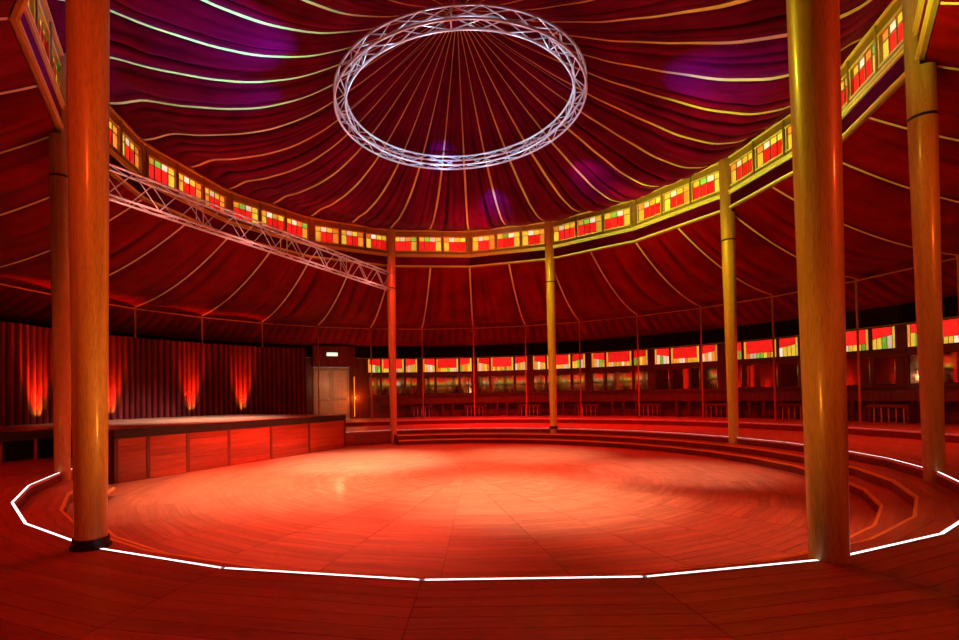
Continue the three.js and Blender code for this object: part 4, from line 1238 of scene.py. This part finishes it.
# Spots: from, to, width in degrees, softness, watts, colour
SPOTS = {
    "stage_wash": ((-7.2, 3.0, 5.0), (-8.6, 3.4, 1.3), 90, 0.2, 2800, (1.0, 0.90, 0.95)),
    "stage_front": ((-2.6, 1.6, 6.2), (-6.1, 2.2, 0.6), 50, 0.2, 3100, (1.0, 0.03, 0.02)),
    "violet_left": ((-1.9, -1.4, 7.5), (-5.0, -4.0, 8.5), 52, 0.03, 900, VIOLET),
    "violet_far_left": ((-2.5, -0.5, 7.5), (-5.0, -1.7, 8.5), 38, 0.03, 420, VIOLET),
    "violet_right": ((2.6, -0.4, 7.5), (6.0, -1.4, 8.3), 42, 0.03, 560, VIOLET),
    "violet_back": ((0.5, 2.7, 7.5), (0.98, 5.2, 8.4), 28, 0.02, 520, VIOLET),
    "violet_crown": ((-0.35, 1.4, 7.8), (-0.7, 3.0, 9.1), 30, 0.03, 300, VIOLET),
    "pink_right": ((2.2, 1.8, 7.5), (4.0, 3.6, 8.4), 38, 0.03, 300, (0.8, 0.2, 0.8)),
    "rim_red_left": ((-6.2, 0.8, 7.2), (-6.6, 1.2, 8.5), 150, 0.1, 40, RED),
    "rim_red_far_left": ((-4.6, 4.4, 7.2), (-4.9, 4.9, 8.5), 150, 0.1, 40, RED),
    "rim_red_back": ((0.0, 6.0, 6.8), (0.0, 6.6, 8.5), 150, 0.1, 90, (1.0, 0.02, 0.08)),
    "olive_right": ((4.2, -1.0, 6.4), (7.6, 0.5, 7.7), 120, 0.1, 280, OLIVE),
    "olive_far_right": ((4.2, 3.2, 6.4), (6.6, 4.6, 7.7), 110, 0.1, 240, OLIVE),
    "olive_front_right": ((5.2, -4.2, 6.4), (7.2, -4.2, 7.8), 110, 0.1, 180, OLIVE),
    "amber_back": ((0.5, 4.6, 6.4), (0.5, 8.0, 7.6), 120, 0.1, 110, (1.0, 0.5, 0.06)),
    "olive_ceiling": ((3.0, -2.6, 6.6), (4.2, -3.4, 8.4), 120, 0.1, 20, (0.9, 1.0, 0.10)),
}
# Where the light on each mast comes from, its watts and its colour
MAST_LIGHTS = [
    (247.5, (-1.2, -10.4, 5.2), 300, (1.0, 0.08, 0.01)),
    (247.5, (-1.0, -7.6, 1.6), 90, (1.0, 0.42, 0.05)),
    (-67.5, (-0.8, -5.2, 6.6), 520, (1.0, 0.85, 0.03)),
    (-67.5, (6.4, -10.2, 5.0), 520, (1.0, 0.06, 0.01)),
    (-67.5, (1.4, -8.8, 1.8), 90, (1.0, 0.30, 0.02)),
    (202.5, (-5.4, -7.6, 6.4), 900, (1.0, 0.02, 0.01)),
    (202.5, (-6.2, -6.6, 1.4), 40, (1.0, 0.30, 0.04)),
    (-22.5, (4.4, -4.6, 6.6), 150, (1.0, 0.50, 0.02)),
    (-22.5, (8.4, -7.0, 5.0), 400, (1.0, 0.12, 0.01)),
    (22.5, (4.4, 1.6, 6.8), 500, (1.0, 0.90, 0.02)),
    (67.5, (0.6, 4.6, 7.2), 620, (1.0, 0.95, 0.02)),
    (112.5, (-1.6, 4.2, 7.4), 860, (1.0, 0.05, 0.02)),
]
# Light for one piece alone: the piece, from, to, watts, colour
PIECE_LIGHTS = [
    ("hall_braid", (-3.2, -2.6, 5.4), (-4.8, -3.6, 8.5), 680, (0.16, 1.0, 1.0)),
    ("hall_braid", (3.4, -2.6, 5.4), (4.8, -3.0, 8.5), 30, PALE_LIME),
    ("hall_braid", (2.6, 3.4, 5.4), (3.6, 4.4, 8.5), 60, PALE_LIME),
    ("hall_braid", (-3.0, 3.0, 5.4), (-4.0, 4.0, 8.5), 40, PALE_LIME),
    ("lantern_mouldings", (4.4, 0.4, 6.0), (7.6, 1.4, 7.4), 460, (0.5, 1.0, 0.3)),
    ("lantern_mouldings", (2.6, 4.4, 6.0), (4.4, 6.6, 7.4), 280, (0.5, 1.0, 0.3)),
]
# The studio round the tent: place, watts, colour
STUDIO = {
    "studio_key": ((-30, -34, 34), 19000, (1.0, 0.97, 0.93)),
    "studio_fill": ((36, -20, 26), 9000, (0.93, 0.96, 1.0)),
    "studio_back": ((10, 40, 30), 9000, (1.0, 1.0, 1.0)),
}


def light(kind, name, place, energy, colour, aim=None, **settings):
    data = tune(bpy.data.lights.new(name, kind), energy=energy, color=colour, **settings)
    made = tune(placed(name, data), location=place)
    if aim is not None:
        direction = np.asarray(aim, float) - np.asarray(place, float)
        made.rotation_mode = "QUATERNION"
        made.rotation_quaternion = Vector(direction).to_track_quat("-Z", "Y")
    return made


def spotlight(name, place, aim, width, softness, energy, colour, shiny=True, only=()):
    """A spot. only names the pieces that its light falls on, where it is kept off the others."""
    made = light("SPOT", name, place, energy, colour, aim, spot_size=math.radians(width), spot_blend=1.0,
                 shadow_soft_size=softness)
    made.visible_glossy = shiny
    if only:
        lit = bpy.data.collections.new(name + "_lit")
        for piece in only:
            lit.objects.link(bpy.data.objects[piece])
        made.light_linking.receiver_collection = lit


def lights():
    for name, ((x, y), radius, energy, colour) in POOLS.items():
        width = 2 * math.degrees(math.atan(radius / 8.0))
        spotlight(f"pool_{name}", (x * 0.8, y * 0.8, 8.2), (x, y, 0), width, 0.15, energy, colour)
    for name, (place, softness, energy, colour) in WASHES.items():
        spotlight(name, place, (*place[:2], 0), 150, softness, energy, colour, shiny=False)
    for name, row in SPOTS.items():
        spotlight(name, *row, shiny=False)
    for index, (degrees, place, energy, colour) in enumerate(MAST_LIGHTS):
        mast = f"mast_{MASTS.index(degrees) + 1}_timber"
        aim = polar(RING_R, degrees, min(3.4, place[2] + 1))
        spotlight(f"mast_light_{index + 1}", place, aim, 110, 0.15, energy, colour, only=[mast])
    for index, (piece, place, aim, energy, colour) in enumerate(PIECE_LIGHTS):
        spotlight(f"piece_light_{index + 1}", place, aim, 130, 0.1, energy, colour, only=[piece])
    for k in range(16):
        place = polar(2.3, 11 + 22.5 * k, 8.1)
        spotlight(f"truss_{k + 1}", place, place + [0, 0, 1], 160, 0.05, 26, (0.50, 0.74, 1.0),
                  only=["ring_truss_chords", "ring_truss_braces"])
    for k in range(4):
        right = -4.0 + 2.7 * k
        spotlight(f"stage_truss_{k + 1}", stage_spot(4.9, right, 5.7), stage_spot(5.65, right, 6.4), 150,
                  0.05, 40, (1.0, 0.34, 0.28), only=["stage_truss_tubes"])
    light("POINT", "door_light", spot(DOOR_MIDDLE, 13.2, 0.3, 2.6), 42, (1.0, 0.42, 0.18),
          shadow_soft_size=0.2)
    light("POINT", "tube_glow", spot(DOOR_MIDDLE, 14.5, 0.45 - WALL_HALF, 1.9), 34, (1.0, 0.16, 0.02))
    for degrees in CURTAIN_LIGHTS:
        foot = polar(12.66, degrees, 1.36)
        for rise, width, energy, colour in CURTAIN_BEAMS:
            aim = polar(12.93, degrees, 1.36 + rise)
            spotlight(f"curtain_{degrees}_{width}", foot, aim, width, 0.02, energy, colour, shiny=False)
    for name, (place, energy, colour) in STUDIO.items():
        light("AREA", name, place, energy, colour, (0, 0, 5), size=30.0, size_y=30.0, shape="RECTANGLE")
    world = tune(bpy.data.worlds.new("studio"), use_nodes=True)
    background = world.node_tree.nodes["Background"]
    background.inputs[0].default_value = (0.85, 0.87, 0.9, 1.0)
    background.inputs[1].default_value = 0.45
    scene.world = world
    scene.view_settings.view_transform = "Standard"


def ground(size=120.0):
    made = Shader("ground", Roughness=0.7)
    speckle = made.noise(made.coords(grain=False), 3.0, 6.0, 0.6)
    made.set(Base_Color=made.ramp(speckle, *shades((0.66, 0.65, 0.63), (0.74, 0.73, 0.71))))
    mesh = bpy.data.meshes.new("studio_floor")
    corners = [(x, y, -0.003) for x, y in rectangle((-size, size), (-size, size))]
    mesh.from_pydata(corners, [], [(0, 1, 2, 3)])
    mesh.materials.append(made.material)
    placed("studio_floor", mesh)


for build in (camera, masts, floors, edge_strips, lantern, wall_inside, wall_outside, seats, poles,
              ring_truss, stage_truss, truss_cables, crown, stage, backdrop, doors, ceilings, roofs, lights,
              ground):
    build()
